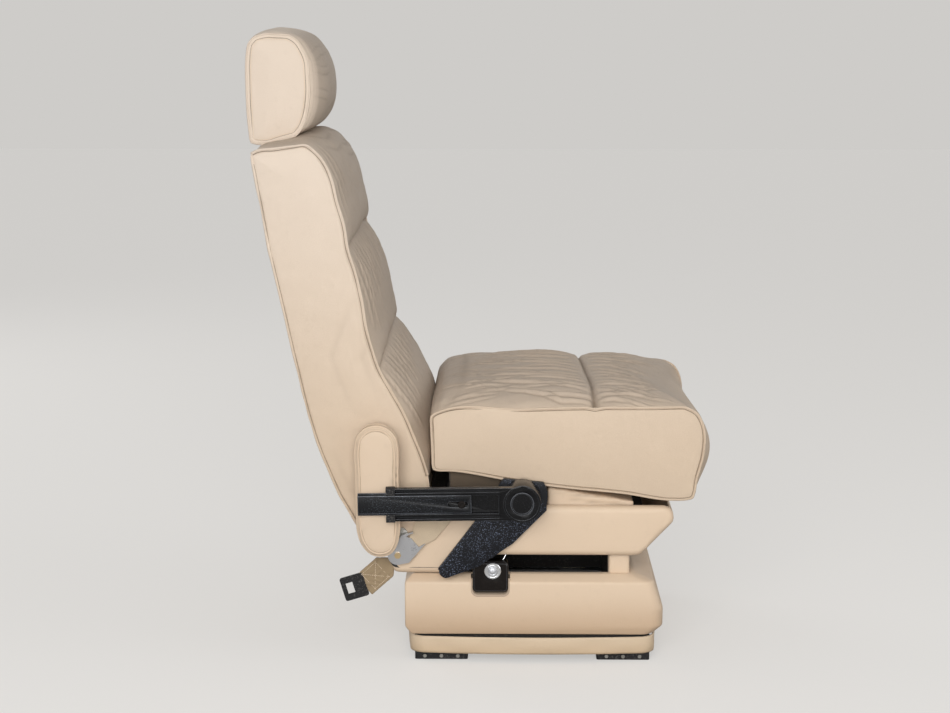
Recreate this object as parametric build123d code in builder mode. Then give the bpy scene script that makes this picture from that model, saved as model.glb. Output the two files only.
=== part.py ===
from build123d import *
from math import atan2, cos, degrees, hypot, radians, sin
import os

os.makedirs("parts", exist_ok=True)

# Airliner seat with a folding, telescoping armrest on each side.
# Frame: +X is forward, +Y is the seat's left, +Z is up, in millimetres.
# The origin is the centre of the four floor bolt holes, on the floor plane.

# Fits and small allowances shared by the whole seat
running_clearance = 0.05      # radial, shaft in bore
slide_clearance = 0.3         # flat sliding faces
soft_clearance = 0.3          # upholstery beside its neighbours
rest_clearance = 0.7          # a wedge under a cushion
rub_clearance = 1.0           # covers that pass one another
overrun = 20.0                # cutters reach this far past a face

# Width over the lower shroud, which the widths below follow
shroud_width = 500.0

# Floor fittings and plinth
plinth_length = 444.0
plinth_inset = 14.0
plinth_width = shroud_width - 2 * plinth_inset
foot_setback_x = 57.0
foot_setback_y = 26.0
floor_bolt_spacing_x = plinth_length - 2 * foot_setback_x
floor_bolt_spacing_y = plinth_width - 2 * foot_setback_y
floor_hole_r = 4.25
foot_length = 96.0
foot_width = 38.0
foot_height = 13.0
foot_corner_r = 4.0
foot_screw_r = 3.5
foot_screw_height = 2.4
foot_screw_pitch = 30.0
plinth_corner_r = 16.0
plinth_gap_below = 14.0
plinth_height = 32.0
plinth_roll_r = 5.0
plinth_skin = 9.0
plinth_plate = 4.0
plinth_flange = 50.0
cross_member_width = 34.0
cross_member_height = 9.0
cross_member_wall = 3.0
cross_member_x = 140.0

# Floor tracks and glides
track_inset = 100.0
track_y = shroud_width / 2 - track_inset
track_length = 324.0
track_width = 44.0
track_height = 22.0
track_wall = 3.0
track_slot = 16.0
glide_length = 46.0
glide_neck = 12.0
glide_x = 88.0
glide_lift = 5.0

# Carriage frame inside the lower shroud
side_member_width = 40.0
side_member_height = 28.0
side_member_length = 400.0
column_size = 30.0
column_inset = 42.0
column_y = shroud_width / 2 - column_inset
front_column_x = 156.0
rear_column_x = -150.0
outrigger_width = 26.0

# Lower shroud, a leather covered box with a bevelled top edge
shroud_rear_x = -230.0
shroud_front_x = 236.0
shroud_bottom_z = 53.0
shroud_shoulder_z = 150.0
shroud_top_z = 163.0
shroud_wall = 4.0
shroud_side_bevel = 18.0
shroud_rear_bevel = 15.0
shroud_front_bevel = 35.0
shroud_front_lean = 17.0
shroud_foot_tuck = 11.0
shroud_belly_z = 100.0
shroud_tuck_height = 13.0
shroud_opening_lip = 4.0
shroud_edge_r = 7.0

# Control housing with its release button
housing_x = -76.0
housing_width = 65.0
housing_bottom_z = 132.0
housing_top_z = 188.0
housing_back_inset = 28.0
housing_back_y = shroud_width / 2 - housing_back_inset
housing_stand = 1.0
housing_face_y = shroud_width / 2 + housing_stand
housing_corner_r = 9.0
housing_edge = 3.0
housing_notch_gap = 3.0
housing_notch_bottom_z = 119.0
button_x = -72.0
button_z = 172.0
bezel_r = 15.0
bezel_depth = 9.0
bezel_stand = 1.6
bezel_groove_r = 12.0
bezel_groove_width = 1.6
bezel_groove_depth = 1.0
button_r = 8.5
button_length = 17.0
button_stand = 4.0
button_crown = 1.5
button_crown_width = 3.5
button_travel = 4.0
button_collar_r = 10.5
button_collar_length = 2.5
release_rod_r = 1.6
release_rod_lean = 22.0
release_rod_inset = 10.0

# Seat pan
pan_rail_inset = 32.0
pan_rail_y = shroud_width / 2 - pan_rail_inset
pan_rail_width = 30.0
pan_rail_bottom_z = 225.0
pan_rail_height = 37.0
pan_rail_wall = 3.0
pan_rear_x = -160.0
pan_front_x = 204.0
pan_cross_width = 28.0
pan_cheek_inset = 9.4
pan_cheek_inner_y = shroud_width / 2 - pan_cheek_inset
pan_cheek_plate = 4.4
pan_cheek_rear_x = -256.0
pan_cheek_front_x = -112.0
pan_cheek_bottom_z = 176.0
pan_cheek_top_z = 268.0
pan_cheek_corner_r = 14.0
diaphragm_plate = 2.0
pan_half_width = shroud_width / 2
pan_skin = 5.0
pan_top_z = 290.0
pan_roll_width = 14.0
pan_roll_r = 6.0
pan_nose_x = 253.0
pan_nose_z = 262.0
pan_front_top_x = 249.0
pan_chin_x = 192.0
pan_chin_return = 16.0
pan_bottom_z = 198.0
pan_step_front_x = -108.0
pan_step_rear_x = -150.0
pan_rear_bottom_z = 165.0
pan_heel_x = -249.0
pan_heel_rear_x = -263.0
pan_heel_z = 197.0
pan_edge_r = 4.0
cover_rear_x = -150.0
cover_split_x = 26.0
cover_tip_x = 181.0
cover_inset = 22.0
cover_half_width = shroud_width / 2 - cover_inset
cover_split_z = 322.0
cover_tip_z = 296.0
cover_split_gap = 1.0

# Seat cushion, a tilted wedge with a crowned top and nose
cushion_inset = 5.0
cushion_half_width = shroud_width / 2 - cushion_inset
cushion_rear_x = -182.0
cushion_length = 486.0
cushion_bottom_z = 303.0
cushion_height = 168.0
cushion_side_shares = [
    (0.000, 0.899), (0.008, 0.315), (0.066, 0.310), (0.290, 0.208), (0.473, 0.137), (0.708, 0.071),
    (0.889, 0.000), (0.961, 0.012), (0.971, 0.185), (0.998, 0.524), (1.000, 0.696), (0.988, 0.845),
    (0.967, 0.940), (0.930, 1.000), (0.761, 0.994), (0.613, 0.994), (0.325, 0.970), (0.037, 0.946),
]
cushion_crown_shares = [
    (0.000, 1.000), (0.008, 0.315), (0.066, 0.310), (0.290, 0.208), (0.473, 0.137), (0.708, 0.071),
    (0.889, 0.000), (0.985, 0.012), (1.050, 0.160), (1.080, 0.420), (1.055, 0.637), (0.985, 0.870),
    (0.915, 1.050), (0.835, 1.140), (0.712, 1.175), (0.556, 1.165), (0.160, 1.165), (0.030, 1.110),
]
cushion_crown_start_share = 0.80

# Backrest
back_inset = 10.0
back_half_width = shroud_width / 2 - back_inset
back_rear_x = -496.0
back_depth = 310.0
back_bottom_z = 208.0
back_height = 724.0
back_rear_shares = [
    (0.000, 0.978), (0.045, 0.862), (0.106, 0.721), (0.155, 0.626), (0.235, 0.467), (0.313, 0.325),
    (0.355, 0.267), (0.429, 0.186), (0.477, 0.138), (0.535, 0.094), (0.581, 0.059),
]
back_bottom_shares = [(0.642, 0.028), (0.755, 0.003), (0.865, 0.000), (0.955, 0.033), (1.000, 0.113)]
back_front_shares = [
    (1.000, 0.181), (0.961, 0.236), (0.919, 0.283), (0.855, 0.348), (0.781, 0.405), (0.713, 0.459),
    (0.687, 0.493), (0.652, 0.547), (0.623, 0.626), (0.590, 0.689), (0.548, 0.747), (0.526, 0.809),
    (0.487, 0.867), (0.461, 0.916), (0.416, 0.959), (0.371, 0.983), (0.313, 1.000),
]
back_top_shares = [(0.255, 0.998), (0.030, 0.985)]
back_wall = 12.0
back_skin = 8.0
upper_seam_share = 0.747
lumbar_seam_share = 0.449
pad_depth_share = 0.2
pad_depth = back_depth * pad_depth_share
pad_seam_gap = 1.0
upper_crown = 26.0
middle_crown = 30.0
lumbar_crown = 46.0
pad_side_share = 0.86
pad_cushion_gap = 3.0
pad_step_shares = [0.0, 0.10, 0.30, 0.50, 0.70, 0.90, 1.0]
pad_swell_shares = [0.20, 0.62, 0.94, 1.0, 0.94, 0.62, 0.20]
flap_thickness = 4.0
flap_inset = 8.0
flap_first_share = 0.105
flap_last_share = 0.285

# Recline pivot and its lock
pivot_x = -237.0
pivot_z = 238.0
pivot_pin_r = 8.0
pivot_boss_r = 17.0
pivot_head_r = 13.0
pivot_head = 4.0
pivot_hole_gap = 1.5
recline_range = 22.0
lever_length = 50.0
lever_thickness = 8.0
lever_width = 24.0
lever_pin_r = 5.0
lever_pin_length = 26.0
lock_rod_r = 5.0
lock_rod_length = 210.0
lock_yoke_back = 15.0
lock_yoke_nose = 26.0
lock_yoke_throat = 15.0
lock_yoke_height = 30.0
lock_yoke_width = 28.0
lock_yoke_gap = 1.5
lock_slot_play = 1.4
lock_body_r = 15.0
lock_body_length = 200.0
lock_body_rear_x = -110.0
lock_bracket = 6.0

# Back frame
frame_plate = 6.0
frame_plate_inset = 33.0
frame_plate_y = shroud_width / 2 - frame_plate_inset
frame_rear_share = 0.0516
frame_rear_inset = back_depth * frame_rear_share
frame_top_drop = 26.0
frame_band_share = 0.1097
frame_band = back_depth * frame_band_share
frame_tube_r = 11.0
frame_tube_z_shares = [0.150, 0.520]
headrest_bar_depth = 26.0
headrest_bar_height = 22.0

# Headrest on two posts
post_lean = 8.0
post_y = 70.0
post_r = 6.0
post_depth_share = 0.12903
post_top_x = back_rear_x + back_depth * post_depth_share
post_top_z = 926.0
guide_r = 9.0
guide_length = 118.0
guide_drop = 10.0
guide_collar_r = 13.0
guide_collar = 3.0
post_depth = 126.0
post_rise = 70.0
headrest_travel = 60.0
headrest_half_width = 150.0
headrest_rear_x = -509.0
headrest_depth = 110.0
headrest_bottom_z = 928.0
headrest_height = 194.0
headrest_side_shares = [
    (0.036, 0.010), (0.000, 0.227), (-0.018, 0.530), (-0.010, 0.784), (0.018, 0.907), (0.110, 0.975),
    (0.290, 1.000), (0.480, 1.000), (0.680, 0.993), (0.800, 0.948), (0.890, 0.876), (0.964, 0.784),
    (0.995, 0.610), (1.000, 0.480), (0.975, 0.345), (0.920, 0.216), (0.845, 0.129), (0.765, 0.077),
    (0.464, 0.031), (0.300, 0.005),
]
headrest_crown_shares = [
    (0.036, 0.052), (-0.020, 0.227), (-0.040, 0.530), (-0.035, 0.800), (0.000, 0.935), (0.110, 1.012),
    (0.300, 1.042), (0.520, 1.042), (0.740, 1.020), (0.930, 0.975), (1.080, 0.880), (1.200, 0.760),
    (1.270, 0.580), (1.280, 0.470), (1.255, 0.345), (1.190, 0.240), (1.090, 0.160), (0.930, 0.110),
    (0.600, 0.085), (0.300, 0.060),
]
headrest_crown_start_share = 0.78
core_half_width = 105.0
core_thickness = 12.0
core_height = 110.0
core_lift = 40.0

# Armrest, in its own plane: x forward along the arm, y up, offset outward from the seat's centre
hub_x = -20.0
hub_z = 311.0
arm_tilt = 0.8
arm_swing = 90.0
bracket_stand = 2.0
bracket_inner_y = shroud_width / 2 + bracket_stand
bracket_plate = 8.0
bracket_hub_r = 46.0
bracket_top = 39.0
bracket_top_fall = 4.3
bracket_heel_r = 13.0
bracket_heel = (-135.0, -137.0)
bracket_rear_points = [(-150.0, -134.0), (-79.0, -40.0), (-36.0, 28.0)]
bracket_front_points = [(44.0, -14.0), (44.0, -25.0), (-16.0, -86.0), (-78.0, -129.0), (-126.0, -147.0)]
bracket_edge = 1.5
bracket_boss_r = 11.0
bracket_boss_points = [(-72.0, -66.0), (-28.0, -60.0)]
ledge_rear = -72.0
ledge_front = -24.0
ledge_depth = 7.0
ledge_reach = 46.0
hub_r = 33.0
hub_pin_r = 12.0
hub_pin_head_r = 18.0
hub_pin_head = 3.5
hub_ring_width = 3.5
hub_ring_stand = 1.5
hub_cap_r = 20.5
hub_cap_depth = 3.0
hub_cap_dish = 1.2
hub_cap_rim = 3.0
arm_stack = 40.0
channel_half_height = 29.0
channel_web = 3.0
channel_depth = 14.0
channel_rear = -236.0
channel_front = -41.0
channel_groove = 3.0
channel_groove_width = 3.5
channel_groove_offset = 23.5
channel_edge = 1.2
bar_half_height = 16.5
bar_flange_half_height = 20.0
bar_flange = 3.5
bar_depth = 8.5
bar_rear = -289.0
bar_front = -89.0
bar_slot_rear = -131.0
bar_slot_front = -94.5
bar_slot_half_height = 5.0
bar_tail_rear = -286.0
bar_tail_front = -260.0
bar_edge = 0.8
collar_length = 16.0
collar_half_height = 31.0
collar_stand = 1.2
collar_rib = 3.0
collar_rib_depth = 1.5
knob_x = -106.0
knob_shank_r = 3.2
knob_head_r = 6.6
knob_head = 3.2
knob_dish_r = 3.0
extend_travel = 7.5
retract_travel = 21.0
pad_inner_stand = 13.0
pad_inner_y = shroud_width / 2 + pad_inner_stand
pad_face_stand = 46.0
pad_face_y = shroud_width / 2 + pad_face_stand
pad_rear = -293.0
pad_front = -218.0
pad_top_y = 100.0
pad_left_y = -53.0
pad_right_y = -60.0
pad_bottom_y = -99.0
pad_bottom_rear = -264.0
pad_bottom_front = -236.0
pad_corner_r = 16.0
pad_edge = 5.0

# Seat belt fittings
hook_x = -242.0
hook_z = 202.0
hook_stand = 3.5
hook_inner_y = shroud_width / 2 + hook_stand
hook_plate = 3.0
hook_boss_r = 12.5
hook_boss = 1.2
hook_arc_r = 18.0
hook_hole_r = 5.2
hook_swing = 8.0
hook_prong = (50.0, 22.0)
hook_prong_root = (20.0, -14.0)
hook_slot_end = (24.0, 31.0)
hook_slot_near = (38.0, 15.0)
hook_arm = (6.0, 37.0)
hook_arm_top = (28.0, 44.0)
hook_arm_inner = (16.0, 34.0)
hook_keeper = (30.0, 60.0)
keeper_reach = 8.0
keeper_thickness = 2.5
belt_bolt_r = 5.0
belt_bolt_head_r = 6.2
belt_bolt_head = 3.6
belt_bolt_edge = 1.0
anchor_boss_r = 12.0
webbing_thickness = 1.6
webbing_width = 46.0
webbing_rise = 104.0
webbing_lean = 41.0
webbing_neck = 24.0
webbing_flare = 26.0
stub_taper = 22.0
stub_anchor_x = -250.0
stub_anchor_z = 190.0
stub_length = 74.0
stub_width = 46.0
stub_drop = 42.0
stub_thickness = 5.0
tongue_length = 44.0
tongue_width = 44.0
tongue_drop = 17.0
tongue_thickness = 3.0
tongue_hole_length = 13.0
tongue_hole_width = 20.0
tongue_corner_r = 4.0
tongue_overlap = 6.0


def placed(shares, x0, z0, length, height):
    """Outline points of a share table laid on a size."""
    return [(x0 + a * length, z0 + b * height) for a, b in shares]


def beside(points, distance):
    """An open outline moved sideways by a distance, to the right of its own direction."""
    moved = []
    for i, (x, z) in enumerate(points):
        before = points[max(i - 1, 0)]
        after = points[min(i + 1, len(points) - 1)]
        dx, dz = after[0] - before[0], after[1] - before[1]
        run = hypot(dx, dz)
        moved.append((x + dz / run * distance, z - dx / run * distance))
    return moved


# ---- Floor fittings and plinth ----

with BuildPart() as floor_fittings:
    with BuildSketch(Plane.XY):
        with GridLocations(floor_bolt_spacing_x, floor_bolt_spacing_y, 2, 2):
            RectangleRounded(foot_length, foot_width, foot_corner_r)
            Circle(floor_hole_r, mode=Mode.SUBTRACT)
    extrude(amount=foot_height)
floor_fittings.part.label = "floor_fittings"

foot_face_y = (floor_bolt_spacing_y + foot_width) / 2
with BuildPart() as foot_screws:
    for side in (1, -1):
        with BuildSketch(Plane.XZ.offset(side * foot_face_y)):
            for foot in (-1, 1):
                with Locations((foot * floor_bolt_spacing_x / 2, foot_height / 2)):
                    with GridLocations(foot_screw_pitch, foot_height, 3, 1):
                        RegularPolygon(foot_screw_r, 6)
        extrude(amount=side * foot_screw_height)
foot_screws.part.label = "foot_screws"

frame_bottom_z = foot_height
frame_top_z = plinth_gap_below + plinth_height
frame_length = plinth_length - 2 * plinth_skin
frame_width = plinth_width - 2 * plinth_skin
with BuildPart() as plinth_frame:
    with BuildSketch(Plane.XY.offset(frame_bottom_z)):
        Rectangle(frame_length, frame_width)
        Rectangle(frame_length - 2 * plinth_flange, frame_width - 2 * plinth_flange, mode=Mode.SUBTRACT)
        with GridLocations(floor_bolt_spacing_x, floor_bolt_spacing_y, 2, 2):
            Circle(floor_hole_r, mode=Mode.SUBTRACT)
    extrude(amount=plinth_plate)
    with BuildSketch(Plane.XY.offset(frame_bottom_z)):
        Rectangle(frame_length, frame_width)
        Rectangle(frame_length - 2 * plinth_plate, frame_width - 2 * plinth_plate, mode=Mode.SUBTRACT)
    extrude(amount=frame_top_z - frame_bottom_z)
    # two cross bars carry the tracks
    with BuildSketch(Plane.XY.offset(frame_top_z - cross_member_height)):
        with GridLocations(2 * cross_member_x, frame_width, 2, 1):
            Rectangle(cross_member_width, frame_width - plinth_plate)
    extrude(amount=cross_member_height)
plinth_frame.part.label = "plinth_frame"

with BuildPart() as plinth_skirt:
    with BuildSketch(Plane.XY.offset(plinth_gap_below)):
        RectangleRounded(plinth_length, plinth_width, plinth_corner_r)
        Rectangle(frame_length, frame_width, mode=Mode.SUBTRACT)
    extrude(amount=plinth_height)
    rims = plinth_skirt.faces().filter_by(Axis.Z)
    fillet([edge for rim in rims for edge in rim.outer_wire().edges()], plinth_roll_r)
plinth_skirt.part.label = "plinth_skirt"

# ---- Tracks, glides and carriage frame ----

track_z = frame_top_z
with BuildPart() as track_rails:
    for side in (-1, 1):
        with BuildSketch(Plane.YZ):
            with Locations((side * track_y, track_z + track_height / 2)):
                Rectangle(track_width, track_height)
                Rectangle(track_width - 2 * track_wall, track_height - 2 * track_wall, mode=Mode.SUBTRACT)
            with Locations((side * track_y, track_z + track_height)):
                Rectangle(track_slot, 4 * track_wall, mode=Mode.SUBTRACT)
        extrude(amount=track_length / 2, both=True)
track_rails.part.label = "track_rails"

glide_width = track_width - 2 * track_wall - 2 * slide_clearance
glide_height = track_height - 2 * track_wall - 2 * slide_clearance
glide_z = track_z + track_wall + slide_clearance
carriage_z = track_z + track_height + glide_lift
with BuildPart() as glide_blocks:
    with BuildSketch(Plane.XY.offset(glide_z)):
        with GridLocations(2 * glide_x, 2 * track_y, 2, 2):
            Rectangle(glide_length, glide_width)
    extrude(amount=glide_height)
    with BuildSketch(Plane.XY.offset(glide_z)):
        with GridLocations(2 * glide_x, 2 * track_y, 2, 2):
            Rectangle(glide_length, glide_neck)
    extrude(amount=carriage_z - glide_z)
glide_blocks.part.label = "glide_blocks"

pan_rail_top_z = pan_rail_bottom_z + pan_rail_height
shroud_inner_y = shroud_width / 2 - shroud_wall
with BuildPart() as carriage_frame:
    # side members over the tracks
    with BuildSketch(Plane.YZ):
        for side in (-1, 1):
            with Locations((side * track_y, carriage_z + side_member_height / 2)):
                Rectangle(side_member_width, side_member_height)
    extrude(amount=side_member_length / 2, both=True)
    # cross members, which reach out to the shroud's sides
    for x in (rear_column_x, front_column_x):
        with BuildSketch(Plane.XZ):
            with Locations((x, carriage_z + side_member_height / 2)):
                Rectangle(column_size, side_member_height)
        extrude(amount=shroud_inner_y, both=True)
    # columns up to the pan
    with BuildSketch(Plane.XY.offset(carriage_z)):
        for x in (rear_column_x, front_column_x):
            for side in (-1, 1):
                with Locations((x, side * column_y)):
                    Rectangle(column_size, column_size)
    extrude(amount=pan_rail_bottom_z - carriage_z)
    # outriggers to the front and rear of the shroud
    with BuildSketch(Plane.XY.offset(carriage_z)):
        for side in (-1, 1):
            with BuildLine():
                Polyline([
                    (shroud_rear_x + shroud_wall, side * track_y - outrigger_width / 2),
                    (shroud_front_x - shroud_wall, side * track_y - outrigger_width / 2),
                    (shroud_front_x - shroud_wall, side * track_y + outrigger_width / 2),
                    (shroud_rear_x + shroud_wall, side * track_y + outrigger_width / 2),
                ], close=True)
            make_face()
    extrude(amount=cross_member_wall)
    # arm that carries the control housing
    with BuildSketch(Plane.XY.offset(carriage_z)):
        with Locations((housing_x, -(track_y + housing_back_y) / 2)):
            Rectangle(outrigger_width, housing_back_y - track_y)
    extrude(amount=side_member_height)
    with BuildSketch(Plane.XY.offset(carriage_z)):
        with Locations((housing_x, -(housing_back_y - cross_member_wall))):
            Rectangle(outrigger_width, 2 * cross_member_wall)
    extrude(amount=housing_top_z - housing_corner_r - carriage_z)
carriage_frame.part.label = "carriage_frame"

# ---- Lower shroud ----

def shroud_side_outline(inset):
    """Side view of the lower shroud, drawn in by a wall thickness."""
    lean = shroud_front_lean
    return [
        (shroud_rear_x + shroud_foot_tuck + inset, shroud_bottom_z - (overrun if inset else 0)),
        (shroud_rear_x + shroud_foot_tuck + inset, shroud_bottom_z),
        (shroud_rear_x + inset, shroud_bottom_z + shroud_tuck_height),
        (shroud_rear_x + inset, shroud_shoulder_z),
        (shroud_rear_x + shroud_rear_bevel + inset, shroud_top_z - inset),
        (shroud_front_x - lean - shroud_front_bevel - inset, shroud_top_z - inset),
        (shroud_front_x - lean - inset, shroud_shoulder_z - inset / 2),
        (shroud_front_x - inset, shroud_belly_z),
        (shroud_front_x - inset, shroud_bottom_z + shroud_tuck_height),
        (shroud_front_x - lean - inset, shroud_bottom_z),
        (shroud_front_x - lean - inset, shroud_bottom_z - (overrun if inset else 0)),
    ]


def shroud_end_outline(inset):
    """End view of the lower shroud, drawn in by a wall thickness."""
    half = shroud_width / 2 - inset
    top = half - shroud_side_bevel
    low = shroud_bottom_z - (overrun if inset else 0)
    return [(-half, low), (half, low), (half, shroud_shoulder_z - inset / 2), (top, shroud_top_z - inset),
            (-top, shroud_top_z - inset), (-half, shroud_shoulder_z - inset / 2)]


shroud_opening_rear_x = shroud_rear_x + shroud_rear_bevel + shroud_wall + shroud_opening_lip
shroud_opening_front_x = shroud_front_x - shroud_front_lean - shroud_front_bevel - shroud_opening_lip
shroud_opening_y = shroud_width / 2 - shroud_side_bevel - shroud_opening_lip

with BuildPart() as shroud_core:
    with BuildSketch(Plane.XZ):
        with BuildLine():
            Polyline(shroud_side_outline(shroud_wall), close=True)
        make_face()
    extrude(amount=shroud_width / 2, both=True)
    with BuildSketch(Plane.YZ):
        with BuildLine():
            Polyline(shroud_end_outline(shroud_wall), close=True)
        make_face()
    extrude(amount=shroud_width, both=True, mode=Mode.INTERSECT)

with BuildPart() as shroud_whole:
    with BuildSketch(Plane.XZ):
        with BuildLine():
            Polyline([p for i, p in enumerate(shroud_side_outline(0)) if i not in (0, 10)], close=True)
        make_face()
        fillet(vertices().group_by(Axis.X)[0], shroud_edge_r)
    extrude(amount=shroud_width / 2, both=True)
    with BuildSketch(Plane.YZ):
        with BuildLine():
            Polyline(shroud_end_outline(0), close=True)
        make_face()
        fillet(vertices().group_by(Axis.Y)[0], shroud_edge_r)
    extrude(amount=shroud_width, both=True, mode=Mode.INTERSECT)
    add(shroud_core.part, mode=Mode.SUBTRACT)
    with BuildSketch(Plane.XY.offset(shroud_top_z - 2 * shroud_wall)):
        with Locations(((shroud_opening_rear_x + shroud_opening_front_x) / 2, 0)):
            Rectangle(shroud_opening_front_x - shroud_opening_rear_x, 2 * shroud_opening_y)
    extrude(amount=overrun, mode=Mode.SUBTRACT)

# the four panels meet on mitre lines that run through the corners of the bevel
rear_corner = (shroud_rear_x, shroud_width / 2)
rear_mitre = (shroud_rear_bevel, shroud_side_bevel)
front_corner = (shroud_front_x - shroud_front_lean, shroud_width / 2)
front_mitre = (shroud_front_bevel, shroud_side_bevel)


def mitre_point(corner, step, turns, side, sign):
    return (corner[0] + sign * step[0] * turns, side * (corner[1] - step[1] * turns))


with BuildPart() as base_shroud_right:
    with BuildSketch(Plane.XY):
        with BuildLine():
            Polyline([mitre_point(rear_corner, rear_mitre, -2, -1, 1),
                      mitre_point(rear_corner, rear_mitre, 3, -1, 1),
                      mitre_point(front_corner, front_mitre, 3, -1, -1),
                      mitre_point(front_corner, front_mitre, -2, -1, -1)], close=True)
        make_face()
    extrude(amount=shroud_top_z + overrun)
    add(shroud_whole.part, mode=Mode.INTERSECT)
    # notch that lets the control housing through
    with BuildSketch(Plane.XZ):
        with Locations((housing_x, (housing_notch_bottom_z + shroud_top_z + overrun) / 2)):
            Rectangle(housing_width + 2 * housing_notch_gap, shroud_top_z + overrun - housing_notch_bottom_z)
    extrude(amount=shroud_width, mode=Mode.SUBTRACT)
base_shroud_right.part.label = "base_shroud_right"

with BuildPart() as base_shroud_left:
    with BuildSketch(Plane.XY):
        with BuildLine():
            Polyline([mitre_point(rear_corner, rear_mitre, -2, 1, 1),
                      mitre_point(rear_corner, rear_mitre, 3, 1, 1),
                      mitre_point(front_corner, front_mitre, 3, 1, -1),
                      mitre_point(front_corner, front_mitre, -2, 1, -1)], close=True)
        make_face()
    extrude(amount=shroud_top_z + overrun)
    add(shroud_whole.part, mode=Mode.INTERSECT)
base_shroud_left.part.label = "base_shroud_left"

with BuildPart() as base_shroud_front:
    with BuildSketch(Plane.XY):
        with BuildLine():
            Polyline([mitre_point(front_corner, front_mitre, 3, -1, -1),
                      mitre_point(front_corner, front_mitre, -2, -1, -1),
                      mitre_point(front_corner, front_mitre, -2, 1, -1),
                      mitre_point(front_corner, front_mitre, 3, 1, -1)], close=True)
        make_face()
    extrude(amount=shroud_top_z + overrun)
    add(shroud_whole.part, mode=Mode.INTERSECT)
base_shroud_front.part.label = "base_shroud_front"

with BuildPart() as base_shroud_rear:
    with BuildSketch(Plane.XY):
        with BuildLine():
            Polyline([mitre_point(rear_corner, rear_mitre, 3, -1, 1),
                      mitre_point(rear_corner, rear_mitre, -2, -1, 1),
                      mitre_point(rear_corner, rear_mitre, -2, 1, 1),
                      mitre_point(rear_corner, rear_mitre, 3, 1, 1)], close=True)
        make_face()
    extrude(amount=shroud_top_z + overrun)
    add(shroud_whole.part, mode=Mode.INTERSECT)
base_shroud_rear.part.label = "base_shroud_rear"

cover_wall = shroud_opening_y - rub_clearance - column_y - column_size / 2
with BuildPart() as post_covers:
    with BuildSketch(Plane.XY.offset(shroud_shoulder_z)):
        for side in (-1, 1):
            with Locations((front_column_x, side * column_y)):
                RectangleRounded(column_size + 2 * cover_wall, column_size + 2 * cover_wall, 2 * cross_member_wall)
                Rectangle(column_size, column_size, mode=Mode.SUBTRACT)
    extrude(amount=pan_bottom_z - soft_clearance - shroud_shoulder_z)
post_covers.part.label = "post_covers"

# ---- Control housing and release button ----

housing_z = (housing_bottom_z + housing_top_z) / 2
bezel_back_y = housing_face_y - bezel_depth
button_back_y = housing_face_y + button_stand - button_length
with BuildPart() as control_housing:
    with BuildSketch(Plane.XZ.offset(housing_back_y)):
        with Locations((housing_x, housing_z)):
            RectangleRounded(housing_width, housing_top_z - housing_bottom_z, housing_corner_r)
    extrude(amount=housing_face_y - housing_back_y)
    chamfer(control_housing.faces().sort_by(Axis.Y)[0].edges(), housing_edge)
    with BuildSketch(Plane.XZ.offset(bezel_back_y)):
        with Locations((button_x, button_z)):
            Circle(bezel_r)
    extrude(amount=overrun, mode=Mode.SUBTRACT)
    with BuildSketch(Plane.XZ.offset(button_back_y - button_travel - rub_clearance)):
        with Locations((button_x, button_z)):
            Circle(button_collar_r + slide_clearance)
    extrude(amount=overrun, mode=Mode.SUBTRACT)
control_housing.part.label = "control_housing"

with BuildPart() as button_bezel:
    with BuildSketch(Plane.XZ.offset(bezel_back_y)):
        with Locations((button_x, button_z)):
            Circle(bezel_r)
            Circle(button_r + running_clearance, mode=Mode.SUBTRACT)
    extrude(amount=bezel_depth + bezel_stand)
    chamfer(button_bezel.faces().sort_by(Axis.Y)[0].outer_wire().edges(), bezel_stand / 2)
    with BuildSketch(Plane.XZ.offset(housing_face_y + bezel_stand - bezel_groove_depth)):
        with Locations((button_x, button_z)):
            Circle(bezel_groove_r)
            Circle(bezel_groove_r - bezel_groove_width, mode=Mode.SUBTRACT)
    extrude(amount=overrun, mode=Mode.SUBTRACT)
button_bezel.part.label = "button_bezel"

with BuildPart() as release_button:
    with BuildSketch(Plane.XZ.offset(button_back_y)):
        with Locations((button_x, button_z)):
            Circle(button_r)
    extrude(amount=button_length)
    chamfer(release_button.faces().sort_by(Axis.Y)[0].edges(), button_crown, button_crown_width)
    with BuildSketch(Plane.XZ.offset(bezel_back_y - slide_clearance - button_collar_length)):
        with Locations((button_x, button_z)):
            Circle(button_collar_r)
    extrude(amount=button_collar_length)
release_button.part.label = "release_button"

rod_x = housing_x + housing_width / 2 - release_rod_inset
with BuildPart() as release_rod:
    with BuildSketch(Plane.XY.offset(housing_top_z)):
        with Locations((rod_x, -(housing_back_y + release_rod_inset))):
            Circle(release_rod_r)
    with BuildSketch(Plane.XY.offset(pan_rail_bottom_z)):
        with Locations((rod_x + release_rod_lean, -(pan_rail_y + release_rod_r))):
            Circle(release_rod_r)
    loft()
release_rod.part.label = "release_rod"

# ---- Seat pan ----

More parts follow.
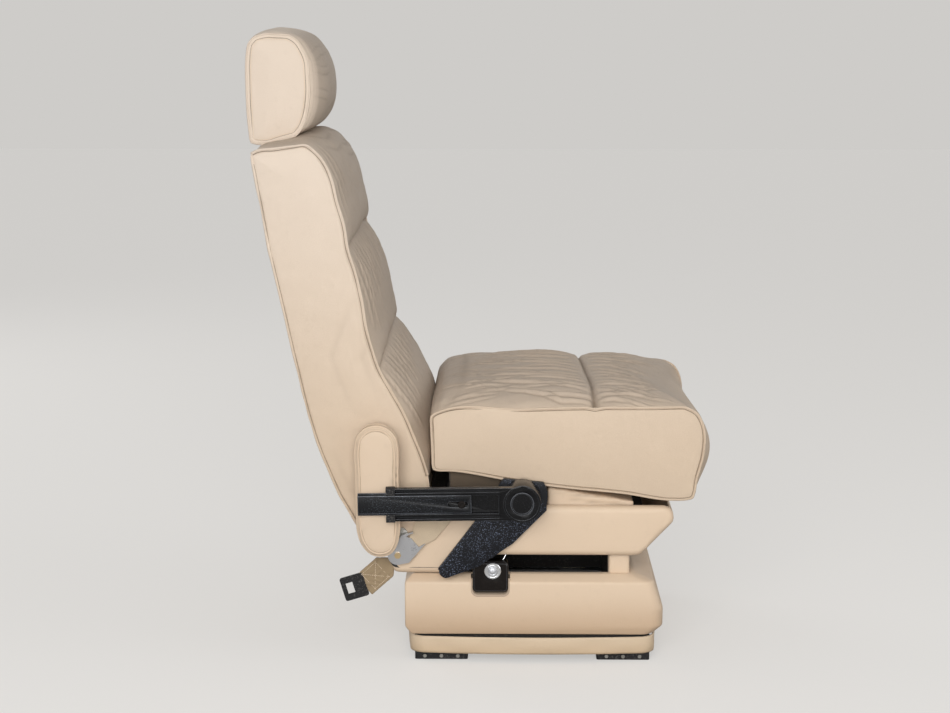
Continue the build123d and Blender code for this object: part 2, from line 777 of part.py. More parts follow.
rail_inner_y = pan_rail_y - pan_rail_width / 2
with BuildPart() as pan_frame:
    with BuildSketch(Plane.YZ.offset(pan_rear_x)):
        for side in (-1, 1):
            with Locations((side * pan_rail_y, pan_rail_bottom_z + pan_rail_height / 2)):
                Rectangle(pan_rail_width, pan_rail_height)
                Rectangle(pan_rail_width - 2 * pan_rail_wall, pan_rail_height - 2 * pan_rail_wall,
                          mode=Mode.SUBTRACT)
    extrude(amount=pan_front_x - pan_rear_x)
    for x in (pan_rear_x + pan_cross_width / 2, front_column_x, pan_front_x - pan_cross_width / 2):
        with BuildSketch(Plane.XZ):
            with Locations((x, pan_rail_bottom_z + pan_rail_height / 2)):
                Rectangle(pan_cross_width, pan_rail_height)
                Rectangle(pan_cross_width - 2 * pan_rail_wall, pan_rail_height - 2 * pan_rail_wall,
                          mode=Mode.SUBTRACT)
        extrude(amount=rail_inner_y + pan_rail_wall / 2, both=True)
    # cheek plates carry the recline pins and the belt anchors
    for side in (-1, 1):
        with BuildSketch(Plane.XZ.offset(-side * pan_cheek_inner_y)):
            with Locations(((pan_cheek_rear_x + pan_cheek_front_x) / 2, (pan_cheek_bottom_z + pan_cheek_top_z) / 2)):
                RectangleRounded(pan_cheek_front_x - pan_cheek_rear_x, pan_cheek_top_z - pan_cheek_bottom_z,
                                 pan_cheek_corner_r)
            with Locations((pivot_x, pivot_z)):
                Circle(pivot_pin_r, mode=Mode.SUBTRACT)
            with Locations((hook_x, hook_z)):
                Circle(belt_bolt_r, mode=Mode.SUBTRACT)
        extrude(amount=-side * pan_cheek_plate)
        with BuildSketch(Plane.XZ.offset(-side * (pan_rail_y + pan_rail_width / 2))):
            with Locations(((pan_rear_x + pan_cheek_front_x) / 2, pan_rail_bottom_z + pan_rail_height / 2)):
                Rectangle(pan_cheek_front_x - pan_rear_x - 2 * pan_rail_wall, pan_rail_height - 2 * pan_rail_wall)
        extrude(amount=-side * (pan_cheek_inner_y - pan_rail_y - pan_rail_width / 2))
pan_frame.part.label = "pan_frame"

with BuildPart() as pan_diaphragm:
    with BuildSketch(Plane.XY.offset(pan_rail_top_z)):
        with Locations(((pan_rear_x + pan_front_x) / 2, 0)):
            RectangleRounded(pan_front_x - pan_rear_x, 2 * (pan_rail_y + pan_rail_width / 2), pan_cheek_corner_r)
    extrude(amount=diaphragm_plate)
pan_diaphragm.part.label = "pan_diaphragm"

pan_side_outline = [
    (pan_heel_rear_x, pan_heel_z), (pan_heel_x, pan_rear_bottom_z), (pan_step_rear_x, pan_rear_bottom_z),
    (pan_step_front_x, pan_bottom_z), (pan_chin_x, pan_bottom_z), (pan_nose_x, pan_nose_z),
    (pan_front_top_x, pan_top_z), (pan_heel_rear_x, pan_top_z),
]
pan_skin_inner_y = pan_half_width - pan_skin
with BuildPart() as pan_shroud_right:
    with BuildSketch(Plane.XZ.offset(pan_skin_inner_y)):
        with BuildLine():
            Polyline(pan_side_outline, close=True)
        make_face()
        fillet(vertices(), pan_edge_r)
    extrude(amount=pan_skin)
    # rolled top edge, forward of the backrest
    with BuildSketch(Plane.YZ.offset(pan_cheek_front_x)):
        with Locations((-(pan_half_width - pan_roll_width / 2), pan_top_z - pan_roll_width / 2)):
            RectangleRounded(pan_roll_width, pan_roll_width, pan_roll_r)
    extrude(amount=pan_front_top_x - pan_edge_r - pan_cheek_front_x)
    with BuildSketch(Plane.XZ.offset(pan_skin_inner_y)):
        with Locations((hook_x, hook_z)):
            Circle(anchor_boss_r + slide_clearance)
        with Locations((pivot_x, pivot_z)):
            Circle(pivot_head_r + rub_clearance)
        with Locations(*[(hub_x + x, hub_z + y) for x, y in bracket_boss_points]):
            Circle(bracket_boss_r + slide_clearance)
    extrude(amount=overrun, mode=Mode.SUBTRACT)
pan_shroud_right.part.label = "pan_shroud_right"

with BuildPart() as pan_shroud_left:
    add(mirror(pan_shroud_right.part, about=Plane.XZ, mode=Mode.PRIVATE))
pan_shroud_left.part.label = "pan_shroud_left"

with BuildPart() as pan_shroud_front:
    with BuildSketch(Plane.XZ):
        with BuildLine():
            Polyline([(pan_chin_x - pan_chin_return, pan_bottom_z), (pan_chin_x, pan_bottom_z),
                      (pan_nose_x, pan_nose_z), (pan_front_top_x, pan_top_z),
                      (pan_front_top_x - 2 * pan_roll_width, pan_top_z),
                      (pan_front_top_x - 2 * pan_roll_width, pan_top_z - pan_skin),
                      (pan_front_top_x - pan_skin, pan_top_z - pan_skin),
                      (pan_nose_x - pan_skin, pan_nose_z), (pan_chin_x - pan_skin / 2, pan_bottom_z + pan_skin),
                      (pan_chin_x - pan_chin_return, pan_bottom_z + pan_skin)], close=True)
        make_face()
    extrude(amount=pan_skin_inner_y, both=True)
    # the rolled side edges run past the corners of the top return
    for side in (-1, 1):
        with BuildSketch(Plane.XY.offset(pan_top_z - pan_roll_width)):
            with Locations((pan_front_top_x - pan_roll_width - overrun, side * (pan_half_width - pan_roll_width / 2))):
                Rectangle(2 * pan_roll_width + 2 * overrun, pan_roll_width)
        extrude(amount=pan_roll_width, mode=Mode.SUBTRACT)
pan_shroud_front.part.label = "pan_shroud_front"

# ---- Seat cushion ----

cushion_side = placed(cushion_side_shares, cushion_rear_x, cushion_bottom_z, cushion_length, cushion_height)
cushion_crown = placed(cushion_crown_shares, cushion_rear_x, cushion_bottom_z, cushion_length, cushion_height)
with BuildPart() as seat_cushion:
    for at, outline in ((1, cushion_side), (cushion_crown_start_share, cushion_crown)):
        with BuildSketch(Plane.XZ.offset(at * cushion_half_width)):
            with BuildLine():
                Polyline(outline, close=True)
            make_face()
    loft(ruled=True)
    with BuildSketch(Plane.XZ):
        with BuildLine():
            Polyline(cushion_crown, close=True)
        make_face()
    extrude(amount=cushion_crown_start_share * cushion_half_width, both=True)
    for at, outline in ((1, cushion_side), (cushion_crown_start_share, cushion_crown)):
        with BuildSketch(Plane.XZ.offset(-at * cushion_half_width)):
            with BuildLine():
                Polyline(outline, close=True)
            make_face()
    loft(ruled=True)
seat_cushion.part.label = "seat_cushion"

cover_bottom_z = pan_rail_top_z + diaphragm_plate + soft_clearance
cushion_base = [point for point in cushion_side if cover_rear_x < point[0] < cover_split_x]


def cushion_underside(x):
    """Height of the cushion's underside at a place along the seat."""
    for (x0, z0), (x1, z1) in zip(cushion_side[2:], cushion_side[3:]):
        if x0 <= x <= x1:
            return z0 + (z1 - z0) * (x - x0) / (x1 - x0)
    return cushion_side[2][1]


with BuildPart() as pan_cover_rear:
    with BuildSketch(Plane.XZ):
        with BuildLine():
            rest_line = [(x, cushion_underside(x) - rest_clearance) for x in
                         [cover_rear_x] + [x for x, z in cushion_base if z < cushion_bottom_z + cushion_height / 2]
                         + [cover_split_x - cover_split_gap]]
            Polyline([(cover_rear_x, cover_bottom_z)] + rest_line
                     + [(cover_split_x - cover_split_gap, cover_bottom_z)], close=True)
        make_face()
    extrude(amount=cover_half_width, both=True)
pan_cover_rear.part.label = "pan_cover_rear"

with BuildPart() as pan_cover_front:
    with BuildSketch(Plane.XZ):
        with BuildLine():
            Polyline([(cover_split_x, cover_bottom_z), (cover_split_x, cover_split_z),
                      (cover_tip_x, cover_tip_z), (cover_tip_x, cover_bottom_z)], close=True)
        make_face()
    extrude(amount=cover_half_width, both=True)
pan_cover_front.part.label = "pan_cover_front"

# ---- Backrest ----

back_rear = placed(back_rear_shares, back_rear_x, back_bottom_z, back_depth, back_height)
back_bottom = placed(back_bottom_shares, back_rear_x, back_bottom_z, back_depth, back_height)
back_front = placed(back_front_shares, back_rear_x, back_bottom_z, back_depth, back_height)
back_top = placed(back_top_shares, back_rear_x, back_bottom_z, back_depth, back_height)
back_outline = back_rear + back_bottom + back_front + back_top
back_inner_y = back_half_width - back_wall


def front_point(share):
    """Point of the back's front edge at a share of the back's height."""
    z = back_bottom_z + share * back_height
    for (x0, z0), (x1, z1) in zip(back_front, back_front[1:]):
        if z0 <= z <= z1:
            return (x0 + (x1 - x0) * (z - z0) / (z1 - z0), z)
    return back_front[-1]


def rear_point(z):
    """Point of the back's rear edge at a height."""
    for (x0, z0), (x1, z1) in zip(back_rear, back_rear[1:]):
        if z1 <= z <= z0:
            return (x0 + (x1 - x0) * (z - z0) / (z1 - z0), z)
    return back_rear[-1]


post_dir = (-sin(radians(post_lean)), 0, cos(radians(post_lean)))


def on_post(distance):
    """Point of the headrest post's line, measured down from the back's top."""
    return (post_top_x - post_dir[0] * distance, post_top_z - post_dir[2] * distance)


with BuildPart() as back_shell:
    with BuildSketch(Plane.XZ):
        with BuildLine():
            Polyline(back_outline, close=True)
        make_face()
    extrude(amount=back_half_width, both=True)
    # hollow between the side walls, open at the front and at the foot
    with BuildSketch(Plane.XZ):
        with BuildLine():
            inner_rear = beside(back_rear, -back_skin)
            top_z = back_rear[0][1] - back_skin
            Polyline([(inner_rear[0][0], top_z - back_skin)] + inner_rear[1:]
                     + [(inner_rear[-1][0], back_bottom_z - overrun), (back_rear_x + back_depth + overrun, back_bottom_z - overrun),
                        (back_rear_x + back_depth + overrun, back_front[0][1]),
                        (back_front[-1][0] + back_depth, top_z), (inner_rear[0][0], top_z)], close=True)
        make_face()
    extrude(amount=back_inner_y, both=True, mode=Mode.SUBTRACT)
    with BuildSketch(Plane.XZ):
        with Locations((pivot_x, pivot_z)):
            Circle(pivot_pin_r + pivot_hole_gap)
    extrude(amount=back_half_width + overrun, both=True, mode=Mode.SUBTRACT)
    # headrest posts come out through the top wall
    for side in (-1, 1):
        hole_x, hole_z = on_post(2 * overrun)
        with BuildSketch(Plane(origin=(hole_x, side * post_y, hole_z), z_dir=post_dir)):
            Circle(guide_collar_r + rub_clearance)
        extrude(amount=4 * overrun, mode=Mode.SUBTRACT)
back_shell.part.label = "back_shell"

top_share = back_front_shares[-1][1]
foot_share = back_front_shares[0][1]


def back_pad_outlines(low_share, high_share, crown):
    """Side outline of a back pad at its edge and at its crown, with as many points each."""
    span = high_share - low_share
    gap = pad_seam_gap / back_height / 2
    front = [front_point(low_share + gap + step * (span - 2 * gap)) for step in pad_step_shares]
    crest = []
    for (x, z), (out_x, out_z), swell in zip(front, beside(front, crown), pad_swell_shares):
        crest.append((min(x + (out_x - x) * swell, cushion_rear_x - pad_cushion_gap), z + (out_z - z) * swell))
    # the ends swell level, so that neighbouring pads meet on a flat seam
    crest[0] = (min(front[0][0] + crown * pad_swell_shares[0], cushion_rear_x - pad_cushion_gap), front[0][1])
    crest[-1] = (front[-1][0] + crown * pad_swell_shares[-1], front[-1][1])
    back_side = [(front[-1][0] - pad_depth, front[-1][1]), (front[0][0] - pad_depth, front[0][1])]
    return front + back_side, crest + back_side


def back_pad(label, low_share, high_share, crown):
    edge, crest = back_pad_outlines(low_share, high_share, crown)
    half = back_inner_y - soft_clearance
    with BuildPart() as pad:
        for side in (-1, 1):
            for at, outline in ((1, edge), (pad_side_share, crest)):
                with BuildSketch(Plane.XZ.offset(side * at * half)):
                    with BuildLine():
                        Polyline(outline, close=True)
                    make_face()
            loft(ruled=True)
        with BuildSketch(Plane.XZ):
            with BuildLine():
                Polyline(crest, close=True)
            make_face()
        extrude(amount=pad_side_share * half, both=True)
    pad.part.label = label
    return pad


pad_top_share = (back_rear[0][1] - back_skin - soft_clearance - back_bottom_z) / back_height
back_pad_upper = back_pad("back_pad_upper", upper_seam_share, pad_top_share, upper_crown)
back_pad_middle = back_pad("back_pad_middle", lumbar_seam_share, upper_seam_share, middle_crown)
back_pad_lumbar = back_pad("back_pad_lumbar", foot_share, lumbar_seam_share, lumbar_crown)

flap_top_z = back_bottom_z + back_height * flap_last_share
flap_bottom_z = back_bottom_z + back_height * flap_first_share
flap_line = ([rear_point(flap_top_z)] + [point for point in back_rear if flap_bottom_z < point[1] < flap_top_z]
             + [rear_point(flap_bottom_z)])
with BuildPart() as back_rear_flap:
    inner_line = beside(flap_line, soft_clearance)
    outer_line = beside(flap_line, soft_clearance + flap_thickness)
    with BuildSketch(Plane.XZ):
        with BuildLine():
            Polyline(inner_line + outer_line[::-1], close=True)
        make_face()
    extrude(amount=back_half_width - flap_inset, both=True)
back_rear_flap.part.label = "back_rear_flap"

# ---- Back frame, recline pins and lock ----

frame_line = [rear_point(back_rear[0][1] - frame_top_drop)] + back_rear[1:]
frame_rear = beside(frame_line, -frame_rear_inset)
frame_front = beside(frame_line, -frame_rear_inset - frame_band)
lever_swing = recline_range / 2
lever_x = pivot_x - lever_length * sin(radians(lever_swing))
lever_z = pivot_z - lever_length * cos(radians(lever_swing))
frame_plate_inner_y = frame_plate_y - frame_plate / 2
with BuildPart() as back_frame:
    for side in (-1, 1):
        with BuildSketch(Plane.XZ.offset(-side * frame_plate_inner_y)):
            with BuildLine():
                Polyline(frame_rear[:-2] + [(pivot_x - pivot_boss_r, pivot_z), (pivot_x + pivot_boss_r, pivot_z)]
                         + frame_front[:-2][::-1], close=True)
            make_face()
            with Locations((pivot_x, pivot_z)):
                Circle(pivot_boss_r)
        extrude(amount=-side * frame_plate)
        # hinge boss that turns on the recline pin
        with BuildSketch(Plane.XZ.offset(-side * frame_plate_inner_y)):
            with Locations((pivot_x, pivot_z)):
                Circle(pivot_boss_r)
        extrude(amount=-side * (back_inner_y - frame_plate_inner_y))
    # cross tubes
    for share in frame_tube_z_shares:
        z = back_bottom_z + share * back_height
        with BuildSketch(Plane.XZ):
            with Locations((rear_point(z)[0] + frame_rear_inset + frame_band / 2, z)):
                Circle(frame_tube_r)
        extrude(amount=frame_plate_inner_y + frame_plate / 2, both=True)
    with BuildSketch(Plane.XZ):
        with Locations((pivot_x, pivot_z)):
            Circle(frame_tube_r)
    extrude(amount=frame_plate_inner_y, both=True)
    # two bars that hold the headrest guides
    for distance in (2 * headrest_bar_height, guide_length - headrest_bar_height / 2):
        with BuildSketch(Plane.XZ):
            with Locations(on_post(distance)):
                Rectangle(headrest_bar_depth, headrest_bar_height, rotation=post_lean)
        extrude(amount=frame_plate_inner_y + frame_plate / 2, both=True)
    for side in (-1, 1):
        with BuildSketch(Plane(origin=(on_post(2 * guide_length)[0], side * post_y, on_post(2 * guide_length)[1]),
                               z_dir=post_dir)):
            Circle(guide_r)
        extrude(amount=2 * guide_length, mode=Mode.SUBTRACT)
    # lever that works the recline lock
    with BuildSketch(Plane.XZ):
        with BuildLine():
            Polyline([(pivot_x - lever_width / 2, pivot_z), (pivot_x + lever_width / 2, pivot_z),
                      (lever_x + lever_pin_r + frame_plate, lever_z), (lever_x - lever_pin_r - frame_plate, lever_z)],
                     close=True)
        make_face()
        with Locations((lever_x, lever_z)):
            Circle(lever_pin_r + frame_plate)
    extrude(amount=lever_thickness / 2, both=True)
    with BuildSketch(Plane.XZ):
        with Locations((lever_x, lever_z)):
            Circle(lever_pin_r)
    extrude(amount=lever_pin_length / 2, both=True)
    # bores for the recline pins
    with BuildSketch(Plane.XZ.offset(frame_plate_inner_y - frame_plate)):
        with Locations((pivot_x, pivot_z)):
            Circle(pivot_pin_r + running_clearance)
    extrude(amount=2 * overrun, mode=Mode.SUBTRACT)
    with BuildSketch(Plane.XZ.offset(-(frame_plate_inner_y - frame_plate))):
        with Locations((pivot_x, pivot_z)):
            Circle(pivot_pin_r + running_clearance)
    extrude(amount=-2 * overrun, mode=Mode.SUBTRACT)
back_frame.part.label = "back_frame"

with BuildPart() as recline_pins:
    for side in (-1, 1):
        with BuildSketch(Plane.XZ.offset(-side * frame_plate_inner_y)):
            with Locations((pivot_x, pivot_z)):
                Circle(pivot_pin_r)
        extrude(amount=-side * (pan_cheek_inner_y + pan_cheek_plate - frame_plate_inner_y))
        with BuildSketch(Plane.XZ.offset(-side * (pan_cheek_inner_y + pan_cheek_plate))):
            with Locations((pivot_x, pivot_z)):
                Circle(pivot_head_r)
        extrude(amount=-side * pivot_head)
recline_pins.part.label = "recline_pins"

slot_half = lever_length * (1 - cos(radians(lever_swing))) + lever_pin_r + lock_slot_play
with BuildPart() as recline_lock_rod:
    # forked yoke with an upright slot for the lever's pin
    with BuildSketch(Plane.XZ):
        with Locations((lever_x + (lock_yoke_nose - lock_yoke_back) / 2, lever_z)):
            RectangleRounded(lock_yoke_back + lock_yoke_nose, lock_yoke_height, lock_rod_r)
        with Locations((lever_x, lever_z)):
            SlotOverall(2 * slot_half, 2 * (lever_pin_r + lock_yoke_gap / 2), rotation=90, mode=Mode.SUBTRACT)
    extrude(amount=lock_yoke_width / 2, both=True)
    with BuildSketch(Plane.XZ):
        with Locations((lever_x + (lock_yoke_throat - lock_yoke_back - overrun) / 2, lever_z)):
            Rectangle(lock_yoke_throat + lock_yoke_back + overrun, 2 * lock_yoke_height)
    extrude(amount=lever_thickness / 2 + lock_yoke_gap, both=True, mode=Mode.SUBTRACT)
    with BuildSketch(Plane.YZ.offset(lever_x + lock_yoke_nose)):
        with Locations((0, lever_z)):
            Circle(lock_rod_r)
    extrude(amount=lock_rod_length)
recline_lock_rod.part.label = "recline_lock_rod"

with BuildPart() as recline_lock_body:
    with BuildSketch(Plane.YZ.offset(lock_body_rear_x)):
        with Locations((0, lever_z)):
            Circle(lock_body_r)
    extrude(amount=lock_body_length)
    chamfer(recline_lock_body.faces().filter_by(Axis.X).edges(), lock_rod_r / 2)
    with BuildSketch(Plane.YZ.offset(lock_body_rear_x - overrun)):
        with Locations((0, lever_z)):
            Circle(lock_rod_r + running_clearance)
    extrude(amount=lock_body_length + overrun - lock_body_r, mode=Mode.SUBTRACT)
    # two hangers up to the pan's rear and middle cross tubes
    with BuildSketch(Plane.YZ.offset(front_column_x - lock_bracket)):
        with BuildLine():
            Polyline([(-lock_body_r, lever_z), (lock_body_r, lever_z), (lock_body_r, pan_rail_bottom_z),
                      (-lock_body_r, pan_rail_bottom_z)], close=True)
        make_face()
    extrude(amount=2 * lock_bracket)
    with BuildSketch(Plane.XZ):
        with BuildLine():
            Polyline([(lock_body_rear_x + lock_body_length - lock_body_r, lever_z - lock_rod_r),
                      (front_column_x + lock_bracket, lever_z - lock_rod_r),
                      (front_column_x + lock_bracket, lever_z + lock_rod_r),
                      (lock_body_rear_x + lock_body_length - lock_body_r, lever_z + lock_rod_r)], close=True)
        make_face()
    extrude(amount=lock_rod_r, both=True)
recline_lock_body.part.label = "recline_lock_body"

# ---- Headrest ----

with BuildPart() as headrest_guides:
    for side in (-1, 1):
        foot_x, foot_z = on_post(guide_length + guide_drop)
        with BuildSketch(Plane(origin=(foot_x, side * post_y, foot_z), z_dir=post_dir)):
            Circle(guide_r)
        extrude(amount=guide_length)
        neck_x, neck_z = on_post(guide_drop)
        with BuildSketch(Plane(origin=(neck_x, side * post_y, neck_z), z_dir=post_dir)):
            Circle(guide_collar_r)
        extrude(amount=guide_collar)
        with BuildSketch(Plane(origin=(foot_x, side * post_y, foot_z), z_dir=post_dir)):
            Circle(post_r + running_clearance)
        extrude(amount=guide_length + 2 * guide_collar, mode=Mode.SUBTRACT)
headrest_guides.part.label = "headrest_guides"

with BuildPart() as headrest_posts:
    for side in (-1, 1):
        foot_x, foot_z = on_post(post_depth)
        with BuildSketch(Plane(origin=(foot_x, side * post_y, foot_z), z_dir=post_dir)):
            Circle(post_r)
        extrude(amount=post_depth + post_rise)
    chamfer(headrest_posts.faces().filter_by(GeomType.PLANE).edges(), post_r / 6)
headrest_posts.part.label = "headrest_posts"

core_x, core_z = on_post(-core_lift)
with BuildPart() as headrest_core:
    with BuildSketch(Plane(origin=(core_x, 0, core_z), x_dir=(0, 1, 0), z_dir=post_dir)):
        RectangleRounded(2 * core_half_width, 2 * core_thickness, core_thickness / 2)
    extrude(amount=core_height)
    for side in (-1, 1):
        with BuildSketch(Plane(origin=(core_x, side * post_y, core_z), z_dir=post_dir)):
            Circle(post_r)
        extrude(amount=post_rise - core_lift, mode=Mode.SUBTRACT)
headrest_core.part.label = "headrest_core"

headrest_side = placed(headrest_side_shares, headrest_rear_x, headrest_bottom_z, headrest_depth, headrest_height)
headrest_crown = placed(headrest_crown_shares, headrest_rear_x, headrest_bottom_z, headrest_depth, headrest_height)
with BuildPart() as headrest_cushion:
    for side in (-1, 1):
        for at, outline in ((1, headrest_side), (headrest_crown_start_share, headrest_crown)):
            with BuildSketch(Plane.XZ.offset(side * at * headrest_half_width)):
                with BuildLine():
                    Polyline(outline, close=True)
                make_face()
        loft(ruled=True)
    with BuildSketch(Plane.XZ):
        with BuildLine():
            Polyline(headrest_crown, close=True)
        make_face()
    extrude(amount=headrest_crown_start_share * headrest_half_width, both=True)
    # pocket for the core and passages for the posts
    pocket_x, pocket_z = on_post(-core_lift + soft_clearance)
    with BuildSketch(Plane(origin=(pocket_x, 0, pocket_z), x_dir=(0, 1, 0), z_dir=post_dir)):
        Rectangle(2 * core_half_width + 2 * soft_clearance, 2 * core_thickness + 2 * soft_clearance)
    extrude(amount=core_height + 2 * soft_clearance, mode=Mode.SUBTRACT)
    for side in (-1, 1):
        with BuildSketch(Plane(origin=(post_top_x, side * post_y, post_top_z), z_dir=post_dir)):
            Circle(post_r + soft_clearance)
        extrude(amount=core_lift + core_thickness, mode=Mode.SUBTRACT)
headrest_cushion.part.label = "headrest_cushion"

# ---- Armrest bracket and hub ----

tilt = radians(arm_tilt)
arm_plane = Plane(origin=(hub_x, 0, hub_z), x_dir=(cos(tilt), 0, sin(tilt)), z_dir=(0, -1, 0))
upright_plane = Plane(origin=(hub_x, 0, hub_z), x_dir=(1, 0, 0), z_dir=(0, -1, 0))
arm_inner_y = bracket_inner_y + bracket_plate + slide_clearance
channel_inner_y = arm_inner_y + arm_stack
channel_face_y = channel_inner_y + channel_depth

with BuildPart() as armrest_bracket_right:
    with BuildSketch(upright_plane.offset(bracket_inner_y)):
        with BuildLine():
            Polyline(bracket_rear_points + bracket_front_points, close=True)
        make_face()
        Circle(bracket_hub_r)
        with Locations(bracket_heel):
            Circle(bracket_heel_r)
        # the top follows the underside of the cushion
        with BuildLine():
            Polyline([(-bracket_hub_r, bracket_top + bracket_top_fall), (bracket_hub_r, bracket_top - bracket_top_fall),
                      (bracket_hub_r, bracket_hub_r + overrun), (-bracket_hub_r, bracket_hub_r + overrun)],
                     close=True)
        make_face(mode=Mode.SUBTRACT)
    extrude(amount=bracket_plate)
    # seats that stand off the pan's side
    with BuildSketch(upright_plane.offset(pan_rail_y + pan_rail_width / 2)):
        with Locations(*bracket_boss_points):
            Circle(bracket_boss_r)
    extrude(amount=bracket_inner_y - pan_rail_y - pan_rail_width / 2)
    # stop ledge under the arm
    with BuildSketch(arm_plane.offset(bracket_inner_y + bracket_plate)):
        with BuildLine():
            Polyline([(ledge_rear, -channel_half_height - slide_clearance),
                      (ledge_front, -channel_half_height - slide_clearance),
                      (ledge_front, -channel_half_height - slide_clearance - ledge_depth),
                      (ledge_rear, -channel_half_height - slide_clearance - ledge_depth)], close=True)
        make_face()
    extrude(amount=ledge_reach)
    with BuildSketch(upright_plane.offset(bracket_inner_y)):
        Circle(hub_pin_r)
    extrude(amount=bracket_plate, mode=Mode.SUBTRACT)
armrest_bracket_right.part.label = "armrest_bracket_right"

with BuildPart() as armrest_bracket_left:
    add(mirror(armrest_bracket_right.part, about=Plane.XZ, mode=Mode.PRIVATE))
armrest_bracket_left.part.label = "armrest_bracket_left"

hub_pin_end_y = channel_face_y - hub_cap_depth - rub_clearance
with BuildPart() as armrest_hub_pins:
    for side in (-1, 1):
        with BuildSketch(Plane.XZ.offset(-side * (bracket_inner_y - hub_pin_head))):
            with Locations((hub_x, hub_z)):
                RegularPolygon(hub_pin_head_r, 6)
        extrude(amount=-side * hub_pin_head)
        with BuildSketch(Plane.XZ.offset(-side * bracket_inner_y)):
            with Locations((hub_x, hub_z)):
                Circle(hub_pin_r)
        extrude(amount=-side * (hub_pin_end_y - bracket_inner_y))
armrest_hub_pins.part.label = "armrest_hub_pins"

# ---- Armrest channel: a T-slot section that guides the slide bar ----

section_plane = Plane(origin=(hub_x + channel_rear * cos(tilt), 0, hub_z + channel_rear * sin(tilt)),
                      x_dir=(0, -1, 0), z_dir=(cos(tilt), 0, sin(tilt)))
# in this plane x points outward from the seat's centre and y points down the arm's height
slot_floor_y = channel_inner_y + channel_web
with BuildPart() as armrest_channel_right:
    with BuildSketch(section_plane):
        with BuildLine():
            Polyline([(channel_inner_y, -channel_half_height), (channel_face_y, -channel_half_height),
                      (channel_face_y, channel_half_height), (channel_inner_y, channel_half_height)], close=True)
        make_face()
        # T-slot
        with Locations((slot_floor_y + (bar_flange + slide_clearance) / 2, 0)):
            Rectangle(bar_flange + slide_clearance, 2 * (bar_flange_half_height + slide_clearance),
                      mode=Mode.SUBTRACT)
        with Locations((slot_floor_y + channel_depth / 2, 0)):
            Rectangle(channel_depth, 2 * (bar_half_height + slide_clearance), mode=Mode.SUBTRACT)
        # long grooves in the outer face and in the top and bottom edges
        for side in (-1, 1):
            with Locations((channel_face_y, side * channel_groove_offset)):
                Rectangle(2 * channel_groove, channel_groove_width, mode=Mode.SUBTRACT)
            with Locations((channel_inner_y + channel_depth / 2, side * channel_half_height)):
                Rectangle(channel_groove_width, channel_groove, mode=Mode.SUBTRACT)
    extrude(amount=channel_front - channel_rear)
    # solid front end that closes the slot and runs into the hub
    with BuildSketch(arm_plane.offset(channel_inner_y)):
        with BuildLine():
            Polyline([(channel_front, -channel_half_height), (0, -channel_half_height),
                      (0, channel_half_height), (channel_front, channel_half_height)], close=True)
        make_face()
    extrude(amount=channel_depth)
    with BuildSketch(arm_plane.offset(arm_inner_y)):
        Circle(hub_r)
    extrude(amount=channel_face_y - arm_inner_y)
    # raised ring round the hub and the recess for its cap
    with BuildSketch(arm_plane.offset(channel_face_y)):
        Circle(hub_r)
        Circle(hub_r - hub_ring_width, mode=Mode.SUBTRACT)
    extrude(amount=hub_ring_stand)
    with BuildSketch(arm_plane.offset(channel_face_y - hub_cap_depth)):
        Circle(hub_cap_r + slide_clearance)
    extrude(amount=overrun, mode=Mode.SUBTRACT)
    with BuildSketch(arm_plane.offset(arm_inner_y)):
        Circle(hub_pin_r + running_clearance)
    extrude(amount=overrun + channel_face_y - arm_inner_y, mode=Mode.SUBTRACT)
    # hole for the lock knob's shank
    with BuildSketch(arm_plane.offset(channel_inner_y)):
        with Locations((knob_x, 0)):
            Circle(knob_shank_r)
    extrude(amount=channel_web, mode=Mode.SUBTRACT)
armrest_channel_right.part.label = "armrest_channel_right"

with BuildPart() as armrest_channel_left:
    add(mirror(armrest_channel_right.part, about=Plane.XZ, mode=Mode.PRIVATE))
armrest_channel_left.part.label = "armrest_channel_left"

with BuildPart() as hub_cap_right:
    with BuildSketch(arm_plane.offset(channel_face_y - hub_cap_depth)):
        Circle(hub_cap_r)
    extrude(amount=hub_cap_depth + hub_ring_stand / 2)
    with BuildSketch(arm_plane.offset(channel_face_y + hub_ring_stand / 2 - hub_cap_dish)):
        Circle(hub_cap_r - hub_cap_rim)
    extrude(amount=hub_cap_depth, mode=Mode.SUBTRACT)
    chamfer(hub_cap_right.faces().sort_by(Axis.Y)[0].outer_wire().edges(), hub_cap_dish / 2)
hub_cap_right.part.label = "hub_cap_right"

with BuildPart() as hub_cap_left:
    add(mirror(hub_cap_right.part, about=Plane.XZ, mode=Mode.PRIVATE))
hub_cap_left.part.label = "hub_cap_left"

